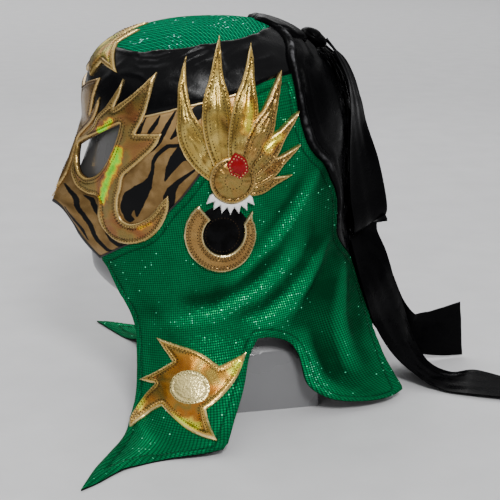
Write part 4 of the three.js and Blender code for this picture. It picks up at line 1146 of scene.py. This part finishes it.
def panel(name, replaced, loop, step, materials, holes=(), stitch_at=(),
          top_of=panel_top, marks=fold_height, added=None):
    """One cloth panel stretched over the head form, with its stitches."""
    uv, triangles, edge = fill(loop, list(holes), step)
    top, mark = top_of(uv, edge), marks(uv)
    parts = Parts()
    add_shell(parts, uv, triangles, top, np.minimum(top, 0) * 0.4 - CLOTH, edge, (0, 1), mark)
    for distance in stitch_at:
        for line in contours(uv, triangles, edge, distance):
            add_stitches(parts, line, 0.02, 2, **CLOTH_STITCH)
    if added is not None:
        added(parts)
    piece = parts.build(name, materials)
    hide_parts(replaced)


def band_top(uv, edge):
    """The band's upper edge is a ruffled lip that lies over the cap."""
    near = on_left(uv)
    off, place, _ = near_line(near, crown)
    ruffle = (0.5 + 0.5 * np.sin(place / 5.1 + 1.2 * np.sin(place / 9.7))) * bell(off, 5.0)
    lip = 0.9 * bell(off - 1.5, 1.4) + 0.9 * ruffle
    return np.where(off < 5, np.maximum(sewn_edge(edge), -0.2), sewn_edge(edge)) + lip


def stripes_at(uv):
    """Distance in mm to the tiger stripes, below zero inside them."""
    near = on_left(uv)
    return np.maximum(stroke_field(near, STRIPES), -stroke_field(near, FLAME_IN_STRIPE))


def skirt_top(uv, edge):
    """A thin edge, a rolled hem and the groove of its seam."""
    return sewn_edge(edge, 0.9, 0.8) + 1.2 * bell(edge - 2.7, 1.9) - bell(edge - SKIRT_HEM_GROOVE, 0.8)


def skirt_marks(uv):
    """Fold height, less behind the facing and above the lower skirt, which darkens the cloth there as
    painted shade.
    """
    bearing, drop = np.abs(uv[:, 0]) / MM_PER_DEGREE, uv[:, 1]
    painted_rear_shade = smoothstep(bearing, 124, 148) * (1 - smoothstep(drop, 262, 305))
    return fold_height(uv) - 2.2 * painted_rear_shade


def facing_roll(uv):
    """The facing's front edge is a thick glossy roll, with soft pleats behind it near the top.
    Gives the distance to that edge, the height of the roll and the height of the rest."""
    near = on_left(uv)
    off, place, _ = near_line(near, np.concatenate([facing_front, facing_side]))
    drop = near[:, 1]
    roll = 3.3 * np.clip(1 - ((off - 3.7) / 4.3) ** 2, 0, 1) * (1 - smoothstep(drop, 150, 235))
    crease = 0.9 * bell(off - 12.5, 2.6) - 0.8 * bell(off - 8.5, 1.6)
    pleat = 1.1 * np.sin(off / 2.6 + place / 23) * (1 - smoothstep(drop, 45, 110)) * smoothstep(off, 8, 12)
    return off, roll, crease * (1 - smoothstep(drop, 120, 220)) + pleat


def facing_top(uv, edge):
    off, roll, rest = facing_roll(uv)
    return np.where(off > 3, sewn_edge(edge), 0.2) + roll + rest


def facing_marks(uv):
    """Fold height, with a painted highlight along the roll that fades downwards, and a faint one on its
    creases and pleats.
    """
    off, roll, rest = facing_roll(uv)
    painted_crest_highlight = 1.3 * bell(off - 2.4, 1.4) * np.clip(roll / 2.2, 0, 1)
    faded = 1 - 0.5 * smoothstep(uv[:, 1], 60, 120)
    return painted_crest_highlight * faded + 0.1 * np.clip(rest, 0, 1) + fold_height(uv)


def add_top_fold(parts, turn):
    """The facing's upper end, folded over the back edge of the cap as a thick glossy roll."""
    uv, triangles, edge = fill(turn(smooth_loop(TOP_FOLD, 1.4)), [], 1.4)
    near = np.abs(uv[:, 0]) / MM_PER_DEGREE
    swell = rounded(edge / 5.5)
    top = 0.5 + 3.7 * swell * (1 + 0.14 * np.sin(near * 0.5 + uv[:, 1] * 0.3))
    # Lip is kept as the mark, for a painted highlight along the fold's front lip.
    lip = 1.1 * bell(uv[:, 1] - 24, 3.5) * smoothstep(swell, 0.5, 0.95)
    add_shell(parts, uv, triangles, top, 0.3, edge, (0, 0), lip)


eye_hole = smooth_loop(EYE_HOLE, 1.2)
band_half = join(crown_to_facing, facing_front, side_seam[::-1], brow[::-1])
face_half = join(brow, cheek, mouth[::-1])
skirt_loop = join(cheek[::-1], side_seam, facing_side, rear, hem, tip, front)
facing_loop = join(facing_front, facing_side, slit[::-1])

panel("forehead_band_cloth", "forehead_band", whole(band_half), 1.45, ["band_satin", "lining_black"],
      top_of=band_top)
panel("face_cloth", "face_panel", whole(face_half), 1.15, ["tiger_print", "lining_black"],
      holes=[eye_hole, flipped(eye_hole)], marks=stripes_at)
for side, (turn, cut) in SIDES.items():
    panel(f"{side}_skirt_cloth", f"{side}_skirt", turn(cut(skirt_loop)), 2.2,
          ["skirt_green", "lining_black", "thread_green"],
          stitch_at=(5.4,), top_of=skirt_top, marks=skirt_marks)
    panel(f"{side}_facing_cloth", f"{side}_back_facing", turn(facing_loop), 1.6,
          ["facing_satin", "lining_black"], top_of=facing_top,
          marks=facing_marks, added=lambda parts, turn=turn: add_top_fold(parts, turn))


def crown_cloth():
    """The cap, in rings down from its top point: an upper layer and a lower one, joined at the edge."""
    rings, segments = 44, 180
    turns = np.linspace(0, 360, segments, endpoint=False) - 180
    share = (np.arange(1, rings + 1) / rings)[:, None]
    reach = np.interp(np.abs(turns) * MM_PER_DEGREE, crown[:, 0], crown[:, 1])
    drop, edge = reach * share, reach * (1 - share)
    bearing = np.broadcast_to(turns, drop.shape)
    angle = np.radians(bearing)
    uv = np.stack([drop * np.sin(angle), drop * np.cos(angle)], -1).reshape(-1, 2) * CAP_MAP
    here = np.arange(segments)
    after = (here + 1) % segments
    middle = rings * segments
    fan = np.stack([np.full(segments, middle), here, after], -1)
    faces = np.concatenate([ring_faces(rings, segments)[:, ::-1], fan])
    parts = Parts()
    for slot, (lift, order) in enumerate([(sewn_edge(edge), [0, 1, 2]), (-CLOTH, [0, 2, 1])]):
        lift = np.broadcast_to(lift, drop.shape).ravel()
        points = raised(bearing.ravel(), np.maximum(drop.ravel(), CAP_TOP_DROP), lift)
        parts.add(np.concatenate([points, [points[:segments].mean(0)]]), faces[:, order], slot,
                  np.concatenate([uv, [[0, 0]]]), np.append(edge, CAP_MIDDLE))
    a, b = middle - segments + here, middle - segments + after
    below = middle + 1
    parts.close(quads(a, a + below, b, b + below), 1)
    piece = parts.build("crown_cloth", ["crown_green", "lining_black"])
    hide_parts("crown_panel")


def tongue_cloth():
    """The loose cloth behind the slit."""
    uv, triangles, edge = fill(smooth_loop(TONGUE_OUTLINE, 3), [], 3)
    parts = Parts()
    add_shell(parts, uv, triangles, TONGUE_LIFT, TONGUE_LIFT - TONGUE, edge)
    piece = parts.build("tongue_cloth", ["lining_black"])
    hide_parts("back_tongue")


crown_cloth()
tongue_cloth()


def foil_top(edge, base, rim, puff, reach):
    """Height of a sewn foil shape: rounded cut edge, bound rim, stitched groove and puffed field."""
    roll = FOIL_ROLL * rounded(edge / FOIL_ROLL)
    bound = rim * bell(edge - FOIL_RIM, 0.75)
    groove = -0.4 * bell(edge - FOIL_GROOVE, 0.45)
    core = puff * (1 - np.exp(-np.clip(edge - FOIL_GROOVE, 0, None) / reach))
    return base + roll + bound + groove + core


def add_foil(parts, loop, base, floor, puff, rim=0.35, reach=4.0, holes=(), step=0.95, stitch_at=(2.2,),
             slot=0, extra=None):
    """One sewn foil shape. Heights are in mm over the cloth: base of its top without the edge's
    roll, floor of its underside, puff of its padding, and rim of its bound edge."""
    uv, triangles, edge = fill(loop, list(holes), step)
    top = foil_top(edge, base, rim, puff, reach)
    if extra is not None:
        top = top + extra(uv, edge)
    near = on_left(uv)
    glow = np.min([near_line(near, to_mm(line))[0] + faded for line, faded in PAINTED_RAINBOW_GLOWS], 0)
    bright_edge = edge_distance(uv, [loop])
    if len(holes):
        bright_edge = np.minimum(bright_edge, edge_distance(uv, list(holes)) + HOLE_EDGE_DULLER)
    add_shell(parts, uv, triangles, top, floor, bright_edge, (slot, slot), glow)
    for distance in stitch_at:
        height = foil_top(np.array([distance]), base, rim, puff, reach)[0] + 0.05
        for line in contours(uv, triangles, edge, distance):
            add_stitches(parts, line, height, 1, **FOIL_STITCH)


def foil_piece(name, replaced, slot, materials, *shapes):
    parts = Parts()
    for shape in shapes:
        add_foil(parts, **shape)
    piece = parts.build(name, materials)
    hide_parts(replaced)
    return piece


def on_side(points):
    """Places in mm round the plume's middle, as bearing and drop."""
    return [[PLUME_BEARING + x / PLUME_SCALE, PLUME_DROP - y] for x, y in points]


def feather(shape, count=12):
    """Outline and spine of one feather in its own mm."""
    root, bend, end = (np.array(shape[key], float) for key in ("root", "bend", "tip"))
    left, right, spine = [], [], []
    for i in range(count):
        share = i / count
        point = (1 - share) ** 2 * root + 2 * share * (1 - share) * bend + share ** 2 * end
        way = 2 * (1 - share) * (bend - root) + 2 * share * (end - bend)
        way /= np.hypot(*way)
        half = (shape["width"] / 2 * (0.6 + 0.4 * math.sin(math.pi * min(share * 1.6, 1)))
                * min(1, 1.9 * (1 - share)) ** 0.8)
        left.append([point[0] - way[1] * half, point[1] + way[0] * half])
        right.insert(0, [point[0] + way[1] * half, point[1] - way[0] * half])
        spine.append(point)
    outline = on_side(left + [list(end)] + right)
    return outline, to_mm(on_side(spine + [end]))


def scroll_outline(shape, count=30):
    """A broad hook that narrows to a point."""
    outside, inner_side = [], []
    cx, cy = shape["centre"]
    for i in range(count + 1):
        share = i / count
        angle = math.radians(shape["start"] + (shape["end"] - shape["start"]) * share)
        middle = (shape["inner"] + shape["outer"]) / 2
        half = (shape["outer"] - shape["inner"]) / 2 * (1 - 0.45 * share ** 3)
        way = (math.cos(angle), math.sin(angle))
        outside.append([cx + way[0] * (middle + half), cy + way[1] * (middle + half)])
        inner_side.insert(0, [cx + way[0] * (middle - half), cy + way[1] * (middle - half)])
    angle = math.radians(shape["end"] + shape["tip"])
    point = [cx + math.cos(angle) * shape["outer"], cy + math.sin(angle) * shape["outer"]]
    return on_side(outside + [point] + inner_side)


def teeth_outline(shape):
    """A saw-toothed strip round the lower side of the hub."""
    edge, back = [], []
    cx, cy = HUB["centre"]
    for i in range(2 * shape["count"] + 1):
        angle = math.radians(shape["start"] + (shape["end"] - shape["start"]) * i / (2 * shape["count"]))
        reach = shape["tip"] if i % 2 else shape["valley"]
        edge.append([cx + math.cos(angle) * reach, cy + math.sin(angle) * reach])
        back.insert(0, [cx + math.cos(angle) * shape["inner"], cy + math.sin(angle) * shape["inner"]])
    return on_side(edge + back)


def round_outline(centre, radius, count=40):
    return on_side([[centre[0] + radius * math.cos(2 * math.pi * i / count),
                     centre[1] + radius * math.sin(2 * math.pi * i / count)] for i in range(count)])


def ribbed(spine):
    """A groove down the middle of a feather, with soft cross creases."""
    def height(uv, edge):
        near = on_left(uv)
        off, place, _ = near_line(near, spine)
        crease = 0.22 * np.sin(place / 2.3 + off * 0.5) * smoothstep(edge, 3, 6)
        return crease - 0.9 * bell(off, 0.8) * smoothstep(edge, 2.5, 5)
    return height


feathers = [feather(shape) for shape in FEATHERS]
feather_loops = [smooth_loop(outline, 1.1) for outline, _ in feathers]
hub_loop = smooth_loop(round_outline(**HUB), 1.1)
scroll_loop = smooth_loop(scroll_outline(SCROLL), 1.1)
lining_radius = (SCROLL["inner"] + SCROLL["outer"]) / 2
lining_loop = smooth_loop(round_outline(SCROLL["centre"], lining_radius), 1.6)
teeth_loop = smooth_loop(teeth_outline(TEETH), 1.1, 30)
gem_loop = smooth_loop(on_side(GEM), 1.0)
surround_loop = smooth_loop(EYE_SURROUND, 1.0)
star_loop = smooth_loop(FLAP_STAR, 1.1)
disc_loop = smooth_loop([[STAR_DISC["middle"][0] + STAR_DISC["wide"] * math.cos(a),
                          STAR_DISC["middle"][1] + STAR_DISC["high"] * math.sin(a)]
                         for a in np.linspace(0, 2 * math.pi, 32, endpoint=False)], 1.0)


def crackled(uv, edge):
    """Fine dents in the disc."""
    return (0.12 * np.sin(uv[:, 0] * 2.1 + np.sin(uv[:, 1] * 1.3)) * np.sin(uv[:, 1] * 1.7 + uv[:, 0])
            * smoothstep(edge, 1.5, 3))


def pleated(uv, edge):
    """Rays pressed into the hub."""
    middle = to_mm(on_side([HUB["centre"]])[0])
    near = on_left(uv) - middle
    angle = np.arctan2(near[:, 1], near[:, 0])
    return 0.55 * np.abs(np.sin(angle * 8)) * smoothstep(edge, 3.2, 4.6) * (1 - smoothstep(edge, 8.5, 10.5))


for side, (turn, cut) in SIDES.items():
    feather_shapes = [
        dict(loop=turn(feather_loops[k]), base=1.0 + FEATHER_RISE * level, floor=0.1, puff=2.4, reach=4.5,
             stitch_at=(2.2, 5.6), extra=ribbed(feathers[k][1]), slot=2 if k >= FIRST_DARK_FEATHER else 0)
        for level, k in enumerate(FEATHER_ORDER)]
    hub_shape = dict(loop=turn(hub_loop), base=5.6, floor=1.0, puff=2.2, reach=6, stitch_at=(2.2, 11.0),
                     extra=pleated, slot=2)
    plume = foil_piece(f"{side}_plume_foil", f"{side}_plume", "gold_foil",
                       ["plume_foil", "thread_brown", "plume_dark"], *feather_shapes, hub_shape)
    foil_piece(f"{side}_scroll_foil", f"{side}_scroll", "light_foil", ["light_foil", "thread_brown"],
               dict(loop=turn(scroll_loop), base=2.6, floor=0.3, puff=0.5, rim=0.2, stitch_at=(2.2, 4.4)))
    foil_piece(f"{side}_lining_cloth", f"{side}_lining", "black_satin", ["lining_black", "thread_brown"],
               dict(loop=turn(lining_loop), base=0.3, floor=0.1, rim=0.1, puff=0.3, step=1.8,
                    stitch_at=(9,)))
    foil_piece(f"{side}_teeth_vinyl", f"{side}_teeth", "white_vinyl", ["white_vinyl"],
               dict(loop=turn(teeth_loop), base=3.8, floor=0.6, rim=0.3, puff=0.4, step=0.7, stitch_at=()))
    foil_piece(f"{side}_gem_vinyl", f"{side}_gem", "red_vinyl", ["red_vinyl", "thread_pale"],
               dict(loop=turn(gem_loop), base=7.4, floor=5.0, rim=0.2, puff=1.6, step=0.8,
                    stitch_at=(1.6,)))
    foil_piece(f"{side}_eye_foil", f"{side}_eye_surround", "gold_foil", ["gold_foil", "thread_brown"],
               dict(loop=turn(surround_loop), holes=[turn(eye_hole)], base=1.3, floor=0.2, puff=0.5,
                    step=0.85, stitch_at=(2.2, 4.2)))
    foil_piece(f"{side}_star_foil", f"{side}_flap_star", "gold_foil", ["star_foil", "thread_brown"],
               dict(loop=turn(cut(star_loop)), base=1.2, floor=0.2, rim=0.45, puff=0.4,
                    stitch_at=(2.2, 4.2)))
    foil_piece(f"{side}_disc_foil", f"{side}_star_disc", "light_foil", ["disc_foil", "thread_brown"],
               dict(loop=turn(disc_loop), base=1.9, floor=1.2, rim=0.2, puff=0.9, reach=5, step=0.8,
                    stitch_at=(1.3,), extra=crackled))

foil_piece("bridge_foil", "bridge_flames", "gold_foil", ["bridge_gold", "thread_brown"],
           dict(loop=whole(smooth_line(BRIDGE_FLAMES, 1.0)), base=1.0, floor=0.1, puff=0.5, step=0.85))
foil_piece("forehead_foil", "forehead_star", "gold_foil", ["brow_gold", "thread_brown"],
           dict(loop=whole(smooth_line(FOREHEAD_STAR, 1.0)), base=1.2, floor=0.1, puff=0.9, reach=6,
                step=0.85, stitch_at=(2.2, 4.2, 7.5)))


def piping(name, line, radius, lift, finish):
    """A bound edge that runs along a seam on both halves."""
    parts = Parts()
    for half in (line, flipped(line)):
        add_tube(parts, over(half, lift), radius)
    parts.build(name, [finish])


piping("gold_piping", brow[brow[:, 0] > PIPING_BEARING * MM_PER_DEGREE], 0.75, 0.0, "piping_gold")
piping("mouth_piping", mouth, 1.3, -0.5, "thread_black")
piping("cheek_piping", cheek[cheek[:, 1] > CHEEK_PIPING_DROP], 0.7, -0.3, "thread_black")


def box(left, right, low, high):
    return [[left, low], [right, low], [right, high], [left, high]]


def lacing():
    """One flat lace to and fro over the slit, through an eyelet at each turn."""
    parts = Parts()
    slit_by_drop = [[drop, 180 - bearing] for bearing, drop in SLIT_EDGE]
    half = LACE_WIDTH / 2
    half_degrees = half / MM_PER_DEGREE
    angles = np.linspace(0, 2 * math.pi, EYELET["places"], endpoint=False)
    for row in range(LACE_ROWS):
        drop = LACE_TOP + row * LACE_PITCH
        reach = float(look_up(slit_by_drop, drop)) + LACE_PAST
        runs = [(box(180 - reach, 180 + reach, drop - half, drop + half), LACE_LIFT)]
        if row + 1 < LACE_ROWS:
            middle = 180 + (-1 if row % 2 else 1) * (reach - half_degrees)
            runs.append((box(middle - half_degrees, middle + half_degrees, drop, drop + LACE_PITCH),
                         LACE_BACK_LIFT))
        for outline, lift in runs:
            uv, triangles, edge = fill(smooth_loop(outline, 1.5), [], 1.8)
            top = lift + 0.25 * np.sin(uv[:, 1] * 1.1 + uv[:, 0] * 0.2) + sewn_edge(edge, 0.8, 0.4)
            add_shell(parts, uv, triangles, top, top - LACE_THICK, edge)
        for sign in (-1, 1):
            bearing = (180 + sign * (reach - EYELET["inset"])
                       + EYELET["radius"] * np.cos(angles) / MM_PER_DEGREE)
            ring = raised(bearing, drop + EYELET["radius"] * np.sin(angles), EYELET["lift"])
            add_tube(parts, ring, EYELET["thread"], closed=True)
    piece = parts.build("lacing_ribbon", ["facing_satin"])
    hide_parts("lacing")


lacing()


def ribbon(name, stops, replaced, seed, cup=0.0):
    """A flat satin ribbon through its stops, with soft creases along it. Where it lies on the back
    of the head, its edges bend towards the head by the cup."""
    stops = np.array(stops, float)
    count = len(stops)
    place = np.linspace(0, count - 1, RIBBON_STEPS * (count - 1) + 1)
    padded = np.concatenate([[2 * stops[0] - stops[1]], stops, [2 * stops[-1] - stops[-2]]])
    low = np.minimum(place.astype(int), count - 2)
    t = (place - low)[:, None]
    p0, p1, p2, p3 = (padded[low + k] for k in range(4))
    line = 0.5 * (2 * p1 + (p2 - p0) * t + (2 * p0 - 5 * p1 + 4 * p2 - p3) * t ** 2
                  + (3 * p1 - p0 - 3 * p2 + p3) * t ** 3)
    middle, way, width = line[:, :3], line[:, 3:6], line[:, 6]
    ahead = np.gradient(middle, axis=0)
    ahead /= np.linalg.norm(ahead, axis=1, keepdims=True)
    way = way - ahead * (way * ahead).sum(1, keepdims=True)
    way /= np.linalg.norm(way, axis=1, keepdims=True)
    up = np.cross(ahead, way)
    run = np.concatenate([[0], np.cumsum(np.linalg.norm(np.diff(middle, axis=0), axis=1))])
    across = np.linspace(-1, 1, RIBBON_PLACES)
    draw = np.random.default_rng(seed)
    phase = draw.uniform(0, 6.28, 6)
    s, c = run[:, None], across[None, :]
    crease = (0.5 * np.sin(c * 5.1 + phase[0] + 0.8 * np.sin(s / 31 + phase[1]))
              + 0.35 * np.sin(c * 9.7 + s / 19 + phase[2]) + 0.25 * np.sin(c * 3.1 - s / 8.7 + phase[3]))
    crease = crease * (0.35 + 14 / np.maximum(width, 10)[:, None] * 0.35)
    height = middle[:, 2]
    on_head = smoothstep(height, 168, 188) * (1 - smoothstep(height, 240, 258))
    bent = crease + cup * on_head[:, None] * c ** 2
    base = middle[:, None] + way[:, None] * (c * width[:, None] / 2)[..., None]
    top = base + up[:, None] * (bent + RIBBON / 2)[..., None]
    under = base + up[:, None] * (bent - RIBBON / 2)[..., None]
    ring = np.concatenate([top, under[:, ::-1]], 1)
    uv = np.stack(np.broadcast_arrays(np.concatenate([across, across[::-1]])[None, :] * width[:, None] / 2,
                                      run[:, None]), -1)
    # The crease height is kept as the mark, for a painted highlight along the ribbon's folds.
    mark = np.concatenate([crease, crease[:, ::-1]], 1)[:, ::-1].ravel() * 0.5
    parts = Parts()
    add_rings(parts, ring[:, ::-1], uv[:, ::-1], mark)
    size = ring.shape[1]
    a = np.arange(size // 2 - 1)
    cap = quads(a, a + 1, size - 1 - a, size - 2 - a)
    parts.close(np.concatenate([cap, cap[:, ::-1] + (len(ring) - 1) * size]), 0)
    piece = parts.build(name, ["facing_satin"])
    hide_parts(replaced)


def other_side(stops):
    return [[-x, y, z, -wx, wy, wz, w] for x, y, z, wx, wy, wz, w in stops]


ribbon("left_loop_ribbon", LOOP, "left_tie_loop", 1)
ribbon("right_loop_ribbon", other_side(LOOP), "right_tie_loop", 2)
ribbon("left_end_ribbon", LEFT_END, "left_tie_end", 3, END_CUP)
ribbon("right_end_ribbon", RIGHT_END, "right_tie_end", 4, END_CUP)


def knot():
    """The tied knot: a wrapped lump with folds round its waist."""
    tilt = np.linspace(0, math.pi, KNOT["rows"])[:, None]
    turn = np.linspace(0, 2 * math.pi, KNOT["columns"], endpoint=False)[None, :]
    fold = (0.06 * np.sin(3 * turn + 1.4 * np.sin(2 * tilt)) * np.sin(tilt)
            + 0.025 * np.sin(7 * turn + 2 * tilt) * np.sin(tilt))
    size = (1 + fold) * (1 - 0.12 * bell(tilt - math.pi / 2, 0.3))
    long, deep, high = KNOT["radii"]
    x = long * size * np.cos(tilt)
    y = deep * size * np.sin(tilt) * np.cos(turn)
    z = high * size * np.sin(tilt) * np.sin(turn)
    lean = math.radians(KNOT["lean"])
    points = np.stack([x, y * math.cos(lean) - z * math.sin(lean) + KNOT["y"],
                       y * math.sin(lean) + z * math.cos(lean) + KNOT["z"]], -1)
    parts = Parts()
    add_rings(parts, points)
    piece = parts.build("knot_ribbon", ["facing_satin"], merged=True)
    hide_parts("tie_knot")


knot()


def head_form():
    """Head, neck and cut shoulders of the display form, finely lofted."""
    table = np.array(FORM_SECTIONS, float)
    heights = np.unique(np.concatenate([np.linspace(0, table[-1, 0], FORM_ROWS), table[:, 0]]))
    fine = np.arange(-20, 312, 0.5)
    kernel = np.exp(-0.5 * (np.arange(-24, 25) * 0.5 / 3.0) ** 2)
    columns = []
    for k in (1, 2, 3):
        raw = np.interp(fine, table[:, 0], table[:, k])
        soft = np.convolve(np.pad(raw, 24, mode="edge"), kernel / kernel.sum(), "valid")
        columns.append(np.interp(heights, fine, soft))
    front, back, wide = columns
    middle = look_up(FORM_MIDDLE, heights)
    turn = np.linspace(0, 2 * math.pi, FORM_COLUMNS, endpoint=False)
    sine, cosine = np.sin(turn)[None, :], np.cos(turn)[None, :]
    reach = np.where(cosine > 0, (back - middle)[:, None], (middle - front)[:, None])
    power = np.where(cosine > 0, SECTION_POWER, look_up(FORM_FRONT_POWER, heights)[:, None])
    radius = ((np.abs(sine) / wide[:, None]) ** power + (np.abs(cosine) / reach) ** power) ** (-1 / power)
    x, y = radius * sine, middle[:, None] + radius * cosine
    ridge = np.clip(np.interp(heights, HEIGHTS, NOSE_ROW) - FORM_NOSE_ROOM, 0, None) * FORM_NOSE
    ridge = ridge * smoothstep(heights, *FORM_NOSE_STARTS)
    nose_width = np.interp(heights, HEIGHTS, NOSE_WIDTH_ROW) - FORM_NOSE_NARROWER
    slope = np.maximum(1 - np.abs(x) / nose_width[:, None], 0) ** 1.5
    y = np.where(cosine < 0, y - ridge[:, None] * slope, y)
    x = np.where(heights[:, None] < FORM_CUT_HEIGHT, np.clip(x, -FORM_CUT, FORM_CUT), x)
    z = np.broadcast_to(heights[:, None], x.shape)
    ends = [np.broadcast_to(end, (1, FORM_COLUMNS, 3))
            for end in ([0.0, FORM_BASE_MIDDLE, 0.0], [0.0, 0.0, FORM_TOP])]
    points = np.concatenate([ends[0], np.stack([x, y, z], -1), ends[1]])
    parts = Parts()
    add_rings(parts, points[:, ::-1])
    piece = parts.build("head_form", ["form_plastic"], sharp=38, merged=True)
    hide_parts("display_head_form")


head_form()


def link(name, data):
    thing = bpy.data.objects.new(name, data)
    bpy.context.scene.collection.objects.link(thing)
    return thing


def facing(way):
    """The turn of a camera or light that looks this way."""
    return way.to_track_quat("-Z", "Y").to_euler()


def stage_and_camera():
    round_turn, up_turn = math.radians(CAMERA_ROUND), math.radians(CAMERA_UP)
    back = Vector((math.sin(round_turn) * math.cos(up_turn), -math.cos(round_turn) * math.cos(up_turn),
                   math.sin(up_turn)))
    camera_data = bpy.data.cameras.new("camera")
    camera_data.lens = CAMERA_LENS
    camera_data.sensor_width = CAMERA_SENSOR
    camera_data.clip_end = 100
    camera = link("camera", camera_data)
    camera.location = (Vector(CAMERA_TARGET) + back * CAMERA_AWAY) * MM
    camera.rotation_euler = facing(-back)
    bpy.context.scene.camera = camera

    floor = bpy.data.meshes.new("floor")
    angles = np.linspace(0, 2 * math.pi, FLOOR_CORNERS, False)
    rim = [(FLOOR_RADIUS * math.cos(a), FLOOR_RADIUS * math.sin(a), 0) for a in angles]
    floor.from_pydata(rim, [], [tuple(range(FLOOR_CORNERS))])
    floor.materials.append(MATERIALS["floor_cloth"])
    ground = link("floor", floor)

    world = bpy.data.worlds.new("studio")
    bpy.context.scene.world = world
    world.use_nodes = True
    background = world.node_tree.nodes["Background"]
    background.inputs["Color"].default_value = WORLD_COLOUR
    background.inputs["Strength"].default_value = WORLD_STRENGTH

    for name, place, size, watts, aim in LIGHTS:
        light_data = bpy.data.lights.new(name, "AREA")
        light_data.size = size
        light_data.energy = watts
        light = link(name, light_data)
        light.location = place
        light.rotation_euler = facing(Vector(aim) - Vector(place))


stage_and_camera()
